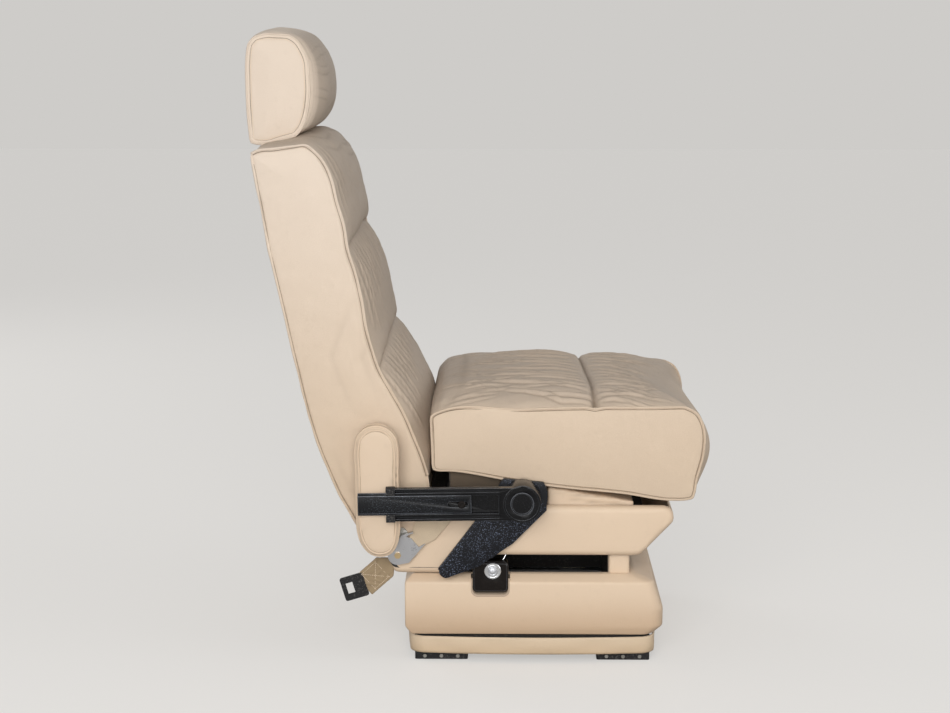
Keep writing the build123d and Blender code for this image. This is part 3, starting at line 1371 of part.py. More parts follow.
collar_plane = Plane(origin=(hub_x + (channel_rear - collar_rib) * cos(tilt), 0,
                             hub_z + (channel_rear - collar_rib) * sin(tilt)),
                     x_dir=(0, -1, 0), z_dir=(cos(tilt), 0, sin(tilt)))
with BuildPart() as channel_collar_right:
    # end plate and the sleeve round the channel
    with BuildSketch(collar_plane):
        with Locations(((channel_inner_y + channel_face_y) / 2 + collar_stand / 2, 0)):
            RectangleRounded(channel_depth + collar_stand, 2 * collar_half_height, collar_rib_depth)
    extrude(amount=collar_length)
    with BuildSketch(collar_plane.offset(collar_rib)):
        with Locations(((channel_inner_y + channel_face_y) / 2, 0)):
            Rectangle(channel_depth, 2 * channel_half_height)
    extrude(amount=collar_length, mode=Mode.SUBTRACT)
    # passage for the bar
    with BuildSketch(collar_plane):
        with Locations((slot_floor_y + (bar_flange + slide_clearance) / 2, 0)):
            Rectangle(bar_flange + slide_clearance, 2 * (bar_flange_half_height + slide_clearance))
        with Locations((slot_floor_y + channel_depth / 2, 0)):
            Rectangle(channel_depth, 2 * (bar_half_height + slide_clearance))
    extrude(amount=collar_length, mode=Mode.SUBTRACT)
    # two raised ribs
    for start in (0, collar_length - collar_rib):
        with BuildSketch(collar_plane.offset(start)):
            for side in (-1, 1):
                with Locations((channel_face_y + (collar_stand + collar_rib_depth) / 2,
                                side * (collar_half_height + bar_half_height) / 2)):
                    Rectangle(collar_stand + collar_rib_depth,
                              collar_half_height - bar_half_height - 2 * collar_rib_depth)
        extrude(amount=collar_rib)
channel_collar_right.part.label = "channel_collar_right"

with BuildPart() as channel_collar_left:
    add(mirror(channel_collar_right.part, about=Plane.XZ, mode=Mode.PRIVATE))
channel_collar_left.part.label = "channel_collar_left"

bar_inner_y = slot_floor_y + slide_clearance / 2
bar_flange_depth = bar_flange
bar_face_y = bar_inner_y + bar_depth
with BuildPart() as slide_bar_right:
    # T-section bar, wide flange at the back
    with BuildSketch(arm_plane.offset(bar_inner_y)):
        with BuildLine():
            Polyline([(bar_rear, -bar_flange_half_height), (bar_front, -bar_flange_half_height),
                      (bar_front, bar_flange_half_height), (bar_rear, bar_flange_half_height)], close=True)
        make_face()
    extrude(amount=bar_flange_depth)
    with BuildSketch(arm_plane.offset(bar_inner_y)):
        with BuildLine():
            Polyline([(bar_rear, -bar_half_height), (bar_front, -bar_half_height),
                      (bar_front, bar_half_height), (bar_rear, bar_half_height)], close=True)
        make_face()
    extrude(amount=bar_depth)
    chamfer(slide_bar_right.faces().sort_by(Axis.Y)[0].edges(), bar_edge)
    # tail block that carries the armrest pad
    with BuildSketch(arm_plane.offset(pad_face_y + soft_clearance)):
        with BuildLine():
            Polyline([(bar_tail_rear, -bar_half_height), (bar_tail_front, -bar_half_height),
                      (bar_tail_front, bar_half_height), (bar_tail_rear, bar_half_height)], close=True)
        make_face()
    extrude(amount=bar_inner_y - pad_face_y - soft_clearance)
    # slot that the lock knob runs in
    with BuildSketch(arm_plane.offset(bar_inner_y)):
        with BuildLine():
            Polyline([(bar_slot_rear + bar_slot_half_height, -bar_slot_half_height),
                      (bar_slot_front - bar_slot_half_height, -bar_slot_half_height),
                      (bar_slot_front - bar_slot_half_height, bar_slot_half_height),
                      (bar_slot_rear + bar_slot_half_height, bar_slot_half_height)], close=True)
        make_face()
        with Locations((bar_slot_rear + bar_slot_half_height, 0), (bar_slot_front - bar_slot_half_height, 0)):
            Circle(bar_slot_half_height)
    extrude(amount=bar_depth, mode=Mode.SUBTRACT)
slide_bar_right.part.label = "slide_bar_right"

with BuildPart() as slide_bar_left:
    add(mirror(slide_bar_right.part, about=Plane.XZ, mode=Mode.PRIVATE))
slide_bar_left.part.label = "slide_bar_left"

knob_seat_y = bar_face_y + slide_clearance
with BuildPart() as lock_knob_right:
    with BuildSketch(arm_plane.offset(channel_inner_y)):
        with Locations((knob_x, 0)):
            Circle(knob_shank_r)
    extrude(amount=knob_seat_y - channel_inner_y)
    with BuildSketch(arm_plane.offset(knob_seat_y)):
        with Locations((knob_x, 0)):
            Circle(knob_head_r)
    extrude(amount=knob_head)
    chamfer(lock_knob_right.faces().sort_by(Axis.Y)[0].edges(), bar_edge)
    with BuildSketch(arm_plane.offset(knob_seat_y + knob_head / 2)):
        with Locations((knob_x, 0)):
            RegularPolygon(knob_dish_r, 6)
    extrude(amount=knob_head, mode=Mode.SUBTRACT)
lock_knob_right.part.label = "lock_knob_right"

with BuildPart() as lock_knob_left:
    add(mirror(lock_knob_right.part, about=Plane.XZ, mode=Mode.PRIVATE))
lock_knob_left.part.label = "lock_knob_left"

with BuildPart() as armrest_pad_right:
    with BuildSketch(arm_plane.offset(pad_inner_y)):
        with BuildLine():
            pad_line = Polyline((pad_rear, pad_top_y), (pad_rear, pad_left_y), (pad_bottom_rear, pad_bottom_y),
                                (pad_bottom_front, pad_bottom_y), (pad_front, pad_right_y), (pad_front, pad_top_y))
            ThreePointArc(pad_line @ 1, ((pad_rear + pad_front) / 2, pad_top_y + (pad_front - pad_rear) / 2),
                          pad_line @ 0)
        make_face()
        fillet(vertices().group_by(Axis.Z)[0], pad_corner_r)
    extrude(amount=pad_face_y - pad_inner_y)
    chamfer(armrest_pad_right.faces().filter_by(Axis.Y).edges(), pad_edge)
armrest_pad_right.part.label = "armrest_pad_right"

with BuildPart() as armrest_pad_left:
    add(mirror(armrest_pad_right.part, about=Plane.XZ, mode=Mode.PRIVATE))
armrest_pad_left.part.label = "armrest_pad_left"

# ---- Seat belt fittings ----

hook_plane = Plane(origin=(hook_x, 0, hook_z), x_dir=(1, 0, 0), z_dir=(0, -1, 0))
hook_face_y = hook_inner_y + hook_plate
with BuildPart() as belt_hook_right:
    with BuildSketch(hook_plane.offset(hook_inner_y)):
        Circle(hook_arc_r)
        with BuildLine():
            Polyline([(0, -hook_arc_r), hook_prong_root, hook_prong, hook_slot_near, hook_slot_end,
                      hook_arm_inner, hook_arm_top, hook_arm, (-hook_hole_r, hook_arc_r / 2)], close=True)
        make_face()
        Circle(hook_hole_r, mode=Mode.SUBTRACT)
    extrude(amount=hook_plate)
    # keeper tab bent outward from the arm's end
    with BuildSketch(hook_plane.offset(hook_inner_y)):
        with BuildLine():
            Polyline([hook_arm, hook_arm_top, (hook_arm_top[0], hook_arm_top[1] - keeper_thickness),
                      (hook_arm[0], hook_arm[1] - keeper_thickness)], close=True)
        make_face()
    extrude(amount=keeper_reach)
belt_hook_right.part.label = "belt_hook_right"

with BuildPart() as belt_hook_left:
    add(mirror(belt_hook_right.part, about=Plane.XZ, mode=Mode.PRIVATE))
belt_hook_left.part.label = "belt_hook_left"

with BuildPart() as belt_anchor_bolts:
    for side in (-1, 1):
        with BuildSketch(Plane.XZ.offset(-side * pan_cheek_inner_y)):
            with Locations((hook_x, hook_z)):
                Circle(belt_bolt_r)
        extrude(amount=-side * (hook_face_y + slide_clearance - pan_cheek_inner_y))
        # spacer between the cheek plate and the hook
        with BuildSketch(Plane.XZ.offset(-side * (pan_cheek_inner_y + pan_cheek_plate))):
            with Locations((hook_x, hook_z)):
                Circle(anchor_boss_r)
        extrude(amount=-side * (hook_inner_y - slide_clearance - pan_cheek_inner_y - pan_cheek_plate))
        with BuildSketch(Plane.XZ.offset(-side * (hook_face_y + slide_clearance))):
            with Locations((hook_x, hook_z)):
                RegularPolygon(belt_bolt_head_r, 6)
        extrude(amount=-side * belt_bolt_head)
belt_anchor_bolts.part.label = "belt_anchor_bolts"

web_x = (hook_slot_near[0] + hook_slot_end[0]) / 2
web_z = (hook_slot_near[1] + hook_slot_end[1]) / 2
webbing_plane = Plane(origin=(hook_x + web_x, 0, hook_z + web_z),
                      x_dir=(cos(radians(webbing_lean)), 0, -sin(radians(webbing_lean))), z_dir=(0, -1, 0))
with BuildPart() as belt_webbing_right:
    with BuildSketch(webbing_plane.offset(hook_inner_y - webbing_thickness - slide_clearance)):
        with BuildLine():
            Polyline([(-webbing_neck / 2, -keeper_thickness), (webbing_neck / 2, -keeper_thickness),
                      (webbing_width / 2, webbing_flare), (webbing_width / 2, webbing_rise),
                      (-webbing_width / 2, webbing_rise), (-webbing_width / 2, webbing_flare)], close=True)
        make_face()
    extrude(amount=webbing_thickness)
belt_webbing_right.part.label = "belt_webbing_right"

with BuildPart() as belt_webbing_left:
    add(mirror(belt_webbing_right.part, about=Plane.XZ, mode=Mode.PRIVATE))
belt_webbing_left.part.label = "belt_webbing_left"

stub_y = pan_cheek_inner_y - stub_thickness / 2
stub_dir = (-cos(radians(stub_drop)), -sin(radians(stub_drop)))
stub_plane = Plane(origin=(stub_anchor_x, -stub_y, stub_anchor_z), x_dir=(stub_dir[0], 0, stub_dir[1]),
                   z_dir=(0, -1, 0))
tongue_dir = (-cos(radians(tongue_drop)), -sin(radians(tongue_drop)))
tongue_reach = stub_length - tongue_overlap
tongue_plane = Plane(origin=(stub_anchor_x + stub_dir[0] * tongue_reach, -stub_y,
                             stub_anchor_z + stub_dir[1] * tongue_reach),
                     x_dir=(tongue_dir[0], 0, tongue_dir[1]), z_dir=(0, -1, 0))
with BuildPart() as belt_stub:
    with BuildSketch(stub_plane):
        with BuildLine():
            Polyline([(0, -tongue_corner_r), (stub_taper, -stub_width / 2), (stub_length, -stub_width / 2),
                      (stub_length, stub_width / 2), (stub_taper, stub_width / 2), (0, tongue_corner_r)], close=True)
        make_face()
    extrude(amount=stub_thickness / 2, both=True)
    # fold that holds the tongue
    with BuildSketch(tongue_plane):
        with Locations((tongue_length / 2, 0)):
            Rectangle(tongue_length + 2 * soft_clearance, tongue_width + 2 * soft_clearance)
    extrude(amount=tongue_thickness / 2 + soft_clearance, both=True, mode=Mode.SUBTRACT)
belt_stub.part.label = "belt_stub"

with BuildPart() as belt_tongue:
    with BuildSketch(tongue_plane):
        with Locations((tongue_length / 2, 0)):
            RectangleRounded(tongue_length, tongue_width, tongue_corner_r)
        with Locations((tongue_length * 2 / 3, 0)):
            Rectangle(tongue_hole_length, tongue_hole_width, mode=Mode.SUBTRACT)
    extrude(amount=tongue_thickness / 2, both=True)
belt_tongue.part.label = "belt_tongue"

finished = [
    floor_fittings, foot_screws, plinth_frame, plinth_skirt, track_rails, glide_blocks, carriage_frame,
    base_shroud_right, base_shroud_left, base_shroud_front, base_shroud_rear, post_covers, control_housing,
    button_bezel, release_button, release_rod, pan_frame, pan_diaphragm, pan_shroud_right, pan_shroud_left,
    pan_shroud_front, pan_cover_rear, pan_cover_front, seat_cushion, back_shell, back_pad_upper,
    back_pad_middle, back_pad_lumbar, back_rear_flap, back_frame, recline_pins, recline_lock_rod,
    recline_lock_body, headrest_guides, headrest_posts, headrest_core, headrest_cushion,
    armrest_bracket_right, armrest_bracket_left, armrest_hub_pins, armrest_channel_right,
    armrest_channel_left, hub_cap_right, hub_cap_left, channel_collar_right, channel_collar_left,
    slide_bar_right, slide_bar_left, lock_knob_right, lock_knob_left, armrest_pad_right, armrest_pad_left,
    belt_hook_right, belt_hook_left, belt_anchor_bolts, belt_webbing_right, belt_webbing_left, belt_stub,
    belt_tongue,
]
for piece in finished:
    export_step(piece.part, f"parts/{piece.part.label}.step")
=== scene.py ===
import math

import bmesh
import bpy
import numpy as np
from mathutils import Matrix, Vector


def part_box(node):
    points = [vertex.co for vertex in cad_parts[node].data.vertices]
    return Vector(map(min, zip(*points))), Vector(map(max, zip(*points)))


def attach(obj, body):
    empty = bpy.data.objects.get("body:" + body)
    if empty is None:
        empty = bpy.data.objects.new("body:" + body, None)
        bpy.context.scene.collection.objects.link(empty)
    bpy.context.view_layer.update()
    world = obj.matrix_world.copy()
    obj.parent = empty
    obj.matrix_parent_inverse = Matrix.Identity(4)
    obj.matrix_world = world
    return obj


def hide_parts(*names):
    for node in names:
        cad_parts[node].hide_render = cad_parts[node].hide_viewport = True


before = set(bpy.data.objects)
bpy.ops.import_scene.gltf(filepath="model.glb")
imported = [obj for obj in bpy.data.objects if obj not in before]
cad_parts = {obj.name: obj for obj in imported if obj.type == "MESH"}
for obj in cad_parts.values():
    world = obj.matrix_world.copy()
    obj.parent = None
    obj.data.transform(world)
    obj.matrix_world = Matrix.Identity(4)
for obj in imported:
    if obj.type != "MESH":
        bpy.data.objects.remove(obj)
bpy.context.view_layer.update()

bl_info = {
    "name": "Airliner Seat Trim",
    "version": (1, 0, 0),
    "blender": (4, 5, 0),
    "location": "3D View > Sidebar > Seat",
    "description": "Leather covers, seams, straps and finishes for an airliner seat, and a plain stage",
    "category": "Object",
}

MM = 0.001
# The seam line is a cord painted dark: painted shade in the seam's groove.
SEAM_LINE = 0.85  # radius of the dark line along a seam, in millimetres
FILL_FRAMES = 14  # frames that the cloth is run for


def shade(red, green, blue):
    """A screen colour, 0 to 255, as the linear colour that Blender keeps."""
    def linear(value):
        value /= 255
        return value / 12.92 if value <= 0.04045 else ((value + 0.055) / 1.055) ** 2.4
    return (linear(red), linear(green), linear(blue))


# Sizes and colours a user would change

def length(name, text, default):
    return bpy.props.FloatProperty(name=name, description=text, default=default, min=0.0, unit="LENGTH",
                                   subtype="DISTANCE", precision=4)


def colour(name, text, default):
    return bpy.props.FloatVectorProperty(name=name, description=text, default=default, subtype="COLOR",
                                         size=3, min=0.0, max=1.0)


def amount(name, text, default, unit="NONE", **more):
    return bpy.props.FloatProperty(name=name, description=text, default=default, unit=unit, **more)


def angle(name, text, degrees):
    return amount(name, text, math.radians(degrees), "ROTATION", subtype="ANGLE")


class SeatSizes(bpy.types.PropertyGroup):
    welt: length("Welt Radius", "Radius of the piping sewn into the cover seams", 0.0023)
    pad_welt: length("Pad Piping Radius", "Radius of the two pipings round each armrest pad", 0.0019)
    seam: length("Seam Depth", "How far a seam pulls the leather in", 0.0065)
    fold: length("Fold Height", "Height of the folds that the seams pull in the leather", 0.0044)
    swell: length("Swell Limit", "The furthest that the filling pushes a cover out", 0.0040)
    mesh_step: length("Mesh Step", "Size of the faces that a cover is built from", 0.0075)
    stitch: length("Stitch Length", "Length of one thread stitch", 0.0026)
    stitch_pitch: length("Stitch Pitch", "Distance from one stitch to the next", 0.0040)
    thread: length("Thread Radius", "Radius of the sewing thread", 0.00045)
    pressure: amount("Filling Pressure", "Cloth pressure that fills the cushions", 4.0, min=0.0)


class SeatColours(bpy.types.PropertyGroup):
    leather: colour("Leather", "Leather of the seat, back and headrest", shade(224, 207, 189))
    # Painted on front and seat faces: partly wear, partly painted shade of faces turned from the key lamp.
    worn: colour("Worn Leather", "Leather where people sit and lean", shade(186, 169, 151))
    panel: colour("Panel Leather", "Leather over the shrouds round the seat pan", shade(219, 195, 168))
    skirt: colour("Skirt", "Leather of the kick strip over the plinth", shade(212, 190, 162))
    # Also painted as shade in folds, seams, grooves and the notch.
    grime_and_shade: colour("Soil", "Grime that gathers in folds and seams", shade(112, 92, 72))
    cloth: colour("Tan Cloth", "Lining cloth under the seat cushion", shade(100, 86, 70))
    webbing: colour("Webbing", "Belt webbing", shade(222, 201, 172))
    stub: colour("Belt Stub", "Folded webbing of the lower belt", shade(170, 148, 116))
    arm: colour("Arm Paint", "Painted metal of the armrests", shade(9, 9, 11))
    bracket: colour("Bracket Paint", "Textured paint of the armrest brackets", shade(15, 16, 21))
    dark: colour("Frame Paint", "Painted steel inside the seat", shade(52, 50, 48))
    gloss: colour("Gloss Black", "Moulding round the release button", shade(24, 20, 18))
    # Painted on rounded metal edges: partly wear from hands, partly a painted highlight.
    rubbed_and_highlit: colour("Rubbed Edge", "Painted edges that hands have rubbed bright", shade(150, 154, 162))


class SeatStage(bpy.types.PropertyGroup):
    key: amount("Key Light", "Power of the large light beside the camera", 128.0, "POWER", min=0.0)
    weak: amount("Weak Lights", "Power of the lights ahead of the seat and behind it", 24.0, "POWER", min=0.0)
    sky: amount("Sky", "Strength of the even light from all round", 0.40, min=0.0)
    floor: colour("Floor", "Colour of the floor and background", shade(206, 204, 201))
    eye: bpy.props.FloatVectorProperty(name="Camera Place", description="Where the camera stands", size=3,
                                       default=(-0.0551, -3.725, 1.153), unit="LENGTH", subtype="TRANSLATION")
    down: angle("Camera Tilt", "How far the camera looks down", 9.65)
    turn: angle("Camera Turn", "How far the camera turns from straight across", 0.8)
    lens: amount("Lens", "Focal length on a 36 mm sensor", 75.8, min=1.0)


def sizes():
    return bpy.context.scene.seat_sizes


def colours():
    return bpy.context.scene.seat_colours


# Shader maths

class Value:
    """A shader socket that takes part in Python arithmetic."""

    def __init__(self, finish, socket):
        self.finish, self.socket = finish, socket

    def maths(self, kind, one, other):
        return self.finish.node("ShaderNodeMath", {"operation": kind}, {0: one, 1: other})

    def __add__(self, other):
        return self.maths("ADD", self, other)

    def __sub__(self, other):
        return self.maths("SUBTRACT", self, other)

    def __rsub__(self, other):
        return self.maths("SUBTRACT", other, self)

    def __mul__(self, other):
        return self.maths("MULTIPLY", self, other)

    __radd__, __rmul__ = __add__, __mul__

    def over(self, edge, width):
        """0 below edge, rising to 1 over width."""
        return self.finish.node("ShaderNodeMapRange", {"interpolation_type": "SMOOTHSTEP"},
                                {"Value": self, "From Min": edge, "From Max": edge + width})


class Finish:
    """A material under construction."""

    def __init__(self, name):
        self.material = bpy.data.materials.new(name)
        self.material.use_nodes = True
        self.tree = self.material.node_tree
        self.tree.nodes.clear()
        self.place = self.node("ShaderNodeTexCoord", out="Object")

    def put(self, socket, value):
        """Links a value to a socket, or sets it there."""
        if isinstance(value, Value):
            self.tree.links.new(value.socket, socket)
        elif socket.type == "RGBA":
            socket.default_value = (*value, 1.0)
        else:
            socket.default_value = value

    def node(self, kind, settings=None, values=None, out=0):
        """Adds a node: its settings first, then the values or links of its sockets."""
        made = self.tree.nodes.new(kind)
        for name, value in (settings or {}).items():
            setattr(made, name, value)
        for name, value in (values or {}).items():
            self.put(made.inputs[name], value)
        return Value(self, made.outputs[out]) if made.outputs else made

    def noise(self, scale, detail=3.0, roughness=0.5, place=None):
        values = {"Vector": place or self.place, "Scale": scale, "Detail": detail, "Roughness": roughness}
        return self.node("ShaderNodeTexNoise", None, values)

    def cells(self, scale):
        values = {"Vector": self.place, "Scale": scale}
        return self.node("ShaderNodeTexVoronoi", {"feature": "DISTANCE_TO_EDGE"}, values, out="Distance")

    def painted(self, name):
        """A value that the mesh carries at each point or face."""
        return self.node("ShaderNodeAttribute", {"attribute_name": name}, out="Fac")

    def mix(self, share, one, other):
        """A colour between two, nearer the second as share rises to 1."""
        made = self.tree.nodes.new("ShaderNodeMix")
        made.data_type, made.clamp_factor = "RGBA", True
        for at, value in ((0, share), (6, one), (7, other)):
            self.put(made.inputs[at], value)
        return Value(self, made.outputs[2])

    def bump(self, height, distance):
        return self.node("ShaderNodeBump", None, {"Height": height, "Distance": distance, "Strength": 1.0})

    def done(self, **values):
        """The material, with values or links for its shader's inputs. An underscore in a name is a space."""
        shader = self.node("ShaderNodeBsdfPrincipled", None,
                           {name.replace("_", " "): value for name, value in values.items()})
        self.node("ShaderNodeOutputMaterial", None, {"Surface": shader})
        return self.material


def scaled(tint, *shares):
    """A colour with its parts multiplied by one share, or each by its own."""
    return tuple(part * share for part, share in zip(tint, shares * (3 if len(shares) == 1 else 1)))


def leather(name, tint, worn, rough=0.50, grain=0.00022, span=(0.95, 0.30), shade_below=(0.90, 0.84, 0.75)):
    """Cabin leather: fine grain, uneven dye, wear where people sit, and grime in folds.
    It yellows downward between the two heights of span, by the shares in aged."""
    made = Finish(name)
    broad, cloud = made.noise(7.0, 3.0), made.noise(55.0, 4.0, 0.6)
    pebble, hairlines = made.cells(620.0), made.cells(95.0)
    fine, specks = made.noise(1500.0, 2.0), made.noise(420.0, 2.0)
    wear_and_shade, fold = made.painted("worn"), made.painted("crease")
    up = made.node("ShaderNodeSeparateXYZ", None, {0: made.place}, out="Z")
    top, bottom = span
    # Painted shade: darker and yellower toward the bottom.
    base = made.mix(1 - up.over(bottom, top - bottom), tint, scaled(tint, *shade_below))
    # Darker on front and seat faces where the mark is set: partly wear, partly painted shade.
    base = made.mix(wear_and_shade * (broad * 0.5 + 0.72), base, worn)
    base = made.mix((broad - 0.35) * 0.16, base, scaled(tint, 0.82))
    cracks = (1 - hairlines.over(0.0, 0.05)) * wear_and_shade * cloud.over(0.45, 0.2)
    # Dirt from clouds, cracks and specks; the mark in folds and seams is partly grime, partly painted shade.
    for grime in (cloud.over(0.55, 0.25) * 0.045, cracks * 0.16, specks.over(0.70, 0.05) * 0.06,
                  fold * (cloud * 0.6 + 0.5)):
        base = made.mix(grime, base, colours().grime_and_shade[:])
    height = pebble.over(0.0, 0.22) + fine * 0.25 + cloud * 1.2
    return made.done(Base_Color=base, Roughness=rough + (cloud - 0.5) * 0.16 + fold * 0.14,
                     Normal=made.bump(height, grain), Sheen_Weight=0.04)


def coated(name, tint, fleck, rough, flecks, scale, relief, rub=0.0):
    """Painted or cast metal with a fine texture, flecks of bare metal, and edges rubbed bright."""
    made = Finish(name)
    texture, patch = made.noise(scale, 3.0, 0.6), made.noise(24.0, 3.0)
    chips = made.noise(scale, 3.0, 0.7).over(0.56, 0.06) * patch.over(0.30, 0.30) * flecks
    # Rounded edges painted bright: partly wear from hands, partly a painted highlight.
    rubbed_and_highlit = made.painted("worn") * (patch.over(0.25, 0.4) * 0.7 + 0.3) * rub
    base = made.mix((patch - 0.4) * 0.35, tint, scaled(tint, 1.6))
    base = made.mix(rubbed_and_highlit, made.mix(chips, base, fleck), colours().rubbed_and_highlit[:])
    return made.done(Base_Color=base, Roughness=rough + (texture - 0.5) * 0.22 - rubbed_and_highlit * 0.1,
                     Metallic=chips * 0.6 + rubbed_and_highlit * 0.5, Normal=made.bump(texture, relief),
                     Specular_IOR_Level=0.24)


def bare(name, tint, rough, drawn=0.0, relief=0.00002):
    """Bare or plated metal. drawn is how strong its fine scratches are."""
    made = Finish(name)
    stretched = made.node("ShaderNodeMapping", None, {"Vector": made.place, "Scale": (40.0, 900.0, 900.0)})
    lines, patch = made.noise(1.0, 4.0, 0.7, stretched), made.noise(60.0, 4.0)
    return made.done(Base_Color=made.mix((patch - 0.45) * 0.5, tint, scaled(tint, 0.72)), Metallic=1.0,
                     Roughness=rough + (patch - 0.5) * 0.14 + (lines - 0.5) * drawn,
                     Normal=made.bump(lines * drawn * 4 + patch * 0.3, relief))


def woven(name, tint, pitch, relief, dark=0.55):
    """Plain weave in two directions, from the piece's own place."""
    made = Finish(name)
    apart = made.node("ShaderNodeSeparateXYZ", None, {0: made.place}, out="X")
    parts = apart.socket.node.outputs
    across = Value(made, parts[0]) + Value(made, parts[1]) * 0.35
    along = Value(made, parts[2]) + Value(made, parts[1]) * 0.21

    def wave(value):
        sine = made.node("ShaderNodeMath", {"operation": "SINE"}, {0: value * (2 * math.pi / pitch)})
        return sine * 0.5 + 0.5

    weft, warp = wave(across), wave(along + pitch * 0.25)
    threads = weft * warp + (1 - weft) * (1 - warp)
    patch, fold = made.noise(40.0, 4.0), made.painted("crease")
    base = made.mix(1 - threads, tint, scaled(tint, dark))
    # Dirt in patches; in folds partly grime, partly painted shade.
    base = made.mix((patch - 0.4) * 0.4 + fold * 0.5, base, colours().grime_and_shade[:])
    return made.done(Base_Color=base, Roughness=0.82 + (patch - 0.5) * 0.1, Normal=made.bump(threads, relief),
                     Sheen_Weight=0.12)


FINISHES = {}


def recipes():
    """How each finish is made: its kind, then its colours and measures."""
    tint = colours()
    return {
        "cover_leather": (leather, tint.leather[:], tint.worn[:]),
        "panel_leather": (leather, tint.panel[:], tint.worn[:], 0.44, 0.00012, (0.135, 0.05),
                          (0.86, 0.80, 0.74)),
        "skirt_leather": (leather, tint.skirt[:], tint.worn[:], 0.52, 0.00016, (0.05, 0.0)),
        "lining": (woven, tint.cloth[:], 0.0016, 0.00025),
        "webbing": (woven, tint.webbing[:], 0.0019, 0.00035, 0.72),
        "stub_webbing": (woven, tint.stub[:], 0.0019, 0.00035, 0.66),
        "thread": (coated, shade(226, 206, 182), shade(150, 130, 110), 0.75, 0.3, 900.0, 0.0001),
        "arm_paint": (coated, tint.arm[:], shade(110, 112, 118), 0.24, 0.06, 700.0, 0.00002, 0.55),
        "bar_paint": (coated, shade(14, 15, 18), shade(120, 128, 138), 0.30, 0.35, 420.0, 0.00004, 0.5),
        "bracket_paint": (coated, tint.bracket[:], shade(104, 112, 130), 0.46, 1.0, 430.0, 0.00035, 0.3),
        "frame_paint": (coated, tint.dark[:], shade(120, 116, 110), 0.60, 0.35, 260.0, 0.00012),
        "black_cast": (coated, shade(30, 29, 30), shade(118, 116, 112), 0.62, 0.5, 300.0, 0.00025),
        "black_gloss": (coated, tint.gloss[:], shade(70, 62, 56), 0.12, 0.15, 500.0, 0.00003, 0.35),
        "nylon": (coated, shade(196, 190, 178), shade(160, 152, 140), 0.45, 0.2, 500.0, 0.00005),
        "chrome": (bare, shade(232, 233, 235), 0.24, 0.04),
        "satin_chrome": (bare, shade(206, 208, 212), 0.40, 0.0, 0.000005),
        "hook_steel": (bare, shade(186, 186, 188), 0.30, 0.12, 0.00004),
        "zinc": (bare, shade(168, 166, 160), 0.38, 0.16, 0.00005),
        "aluminium": (bare, shade(190, 191, 193), 0.34, 0.2, 0.00004),
        "brass": (bare, shade(196, 172, 132), 0.32, 0.1, 0.00004),
    }


def finish(name):
    """A material by its name, made the first time it is asked for."""
    if name not in FINISHES:
        kind, *values = recipes()[name]
        FINISHES[name] = kind(name, *values)
    return FINISHES[name]


# Shapes, in millimetres

def box_of(node):
    """The lowest and the highest corner of a node's box."""
    low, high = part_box(node)
    return np.array(low) / MM, np.array(high) / MM


def placed(node, shares):
    """Side outline points, given as shares of a node's length and height."""
    low, high = box_of(node)
    return np.array([(low[0] + a * (high[0] - low[0]), low[2] + b * (high[2] - low[2])) for a, b in shares])


def half_width(node):
    """Half of a node's width across the seat."""
    low, high = box_of(node)
    return (high[1] - low[1]) / 2


def steps(points, step, closed=True):
    """How many steps of about one length each run between points takes."""
    ahead = np.roll(points, -1, 0) - points
    many = np.maximum(1, np.round(np.linalg.norm(ahead, axis=1) / step)).astype(int)
    return many if closed else many[:-1]


def smooth(points, counts, closed=True):
    """A smooth line through the points, with so many steps in each run."""
    points = np.asarray(points, float)
    ahead = np.roll(points, -1, 0) - points
    gap = np.maximum(np.linalg.norm(ahead, axis=1, keepdims=True), 1e-6)
    slope = ahead / gap
    turn = (np.roll(slope, 1, 0) * gap + slope * np.roll(gap, 1, 0)) / (gap + np.roll(gap, 1, 0))
    if not closed:
        turn[0], turn[-1] = slope[0], slope[-2]
    line = []
    for i, many in enumerate(counts):
        j = (i + 1) % len(points)
        u = (np.arange(many) / many)[:, None]
        line.append((2 * u**3 - 3 * u**2 + 1) * points[i] + (u**3 - 2 * u**2 + u) * gap[i] * turn[i]
                    + (3 * u**2 - 2 * u**3) * points[j] + (u**3 - u**2) * gap[i] * turn[j])
    if not closed:
        line.append(points[-1:])
    return np.concatenate(line)


def offset(points, distance, closed=True):
    """The points moved to the right of their direction."""
    ahead, behind = np.roll(points, -1, 0), np.roll(points, 1, 0)
    if not closed:
        ahead[-1], behind[0] = points[-1], points[0]
    way = ahead - behind
    way /= np.maximum(np.linalg.norm(way, axis=1, keepdims=True), 1e-6)
    return points + np.column_stack([way[:, 1], -way[:, 0]]) * np.reshape(distance, (-1, 1))


def follow(points, line):
    """The nearest point of a line to each flat point, how far away that is, and how far along the line.
    The line's whole length comes last."""
    line = np.asarray(line, float)
    away, passed = np.full(len(points), 1e12), 0.0
    spot, along = np.zeros((len(points), 2)), np.zeros(len(points))
    for a, b in zip(line, line[1:]):
        way, run = b - a, np.linalg.norm(b - a)
        share = np.clip(((points - a) @ way) / run**2, 0, 1)
        at = a + share[:, None] * way
        far = np.linalg.norm(points - at, axis=1)
        closer = far < away
        spot[closer], along[closer] = at[closer], (passed + share * run)[closer]
        away = np.minimum(away, far)
        passed += run
    return spot, away, along, passed


def inside(line, spine, inward):
    """A side outline moved toward its spine, and at most onto it."""
    core = follow(line, spine)[0]
    reach = np.linalg.norm(core - line, axis=1, keepdims=True)
    return line + (core - line) * np.minimum(1, inward / reach)


def at_side(flat, y):
    """Points of a side outline, at a place across the seat."""
    return np.column_stack([flat[:, 0], np.broadcast_to(y, len(flat)), flat[:, 1]])


def stations(half, step):
    """Places across a cover, closer together near its two edges."""
    inner = np.linspace(-0.965, 0.965, int(2 * 0.965 * half / step) + 1)
    return np.concatenate([[-1, -0.9965, -0.988, -0.977], inner, [0.977, 0.988, 0.9965, 1]])


def stand(name, data):
    """Adds an object to the scene."""
    made = bpy.data.objects.new(name, data)
    bpy.context.scene.collection.objects.link(made)
    return made


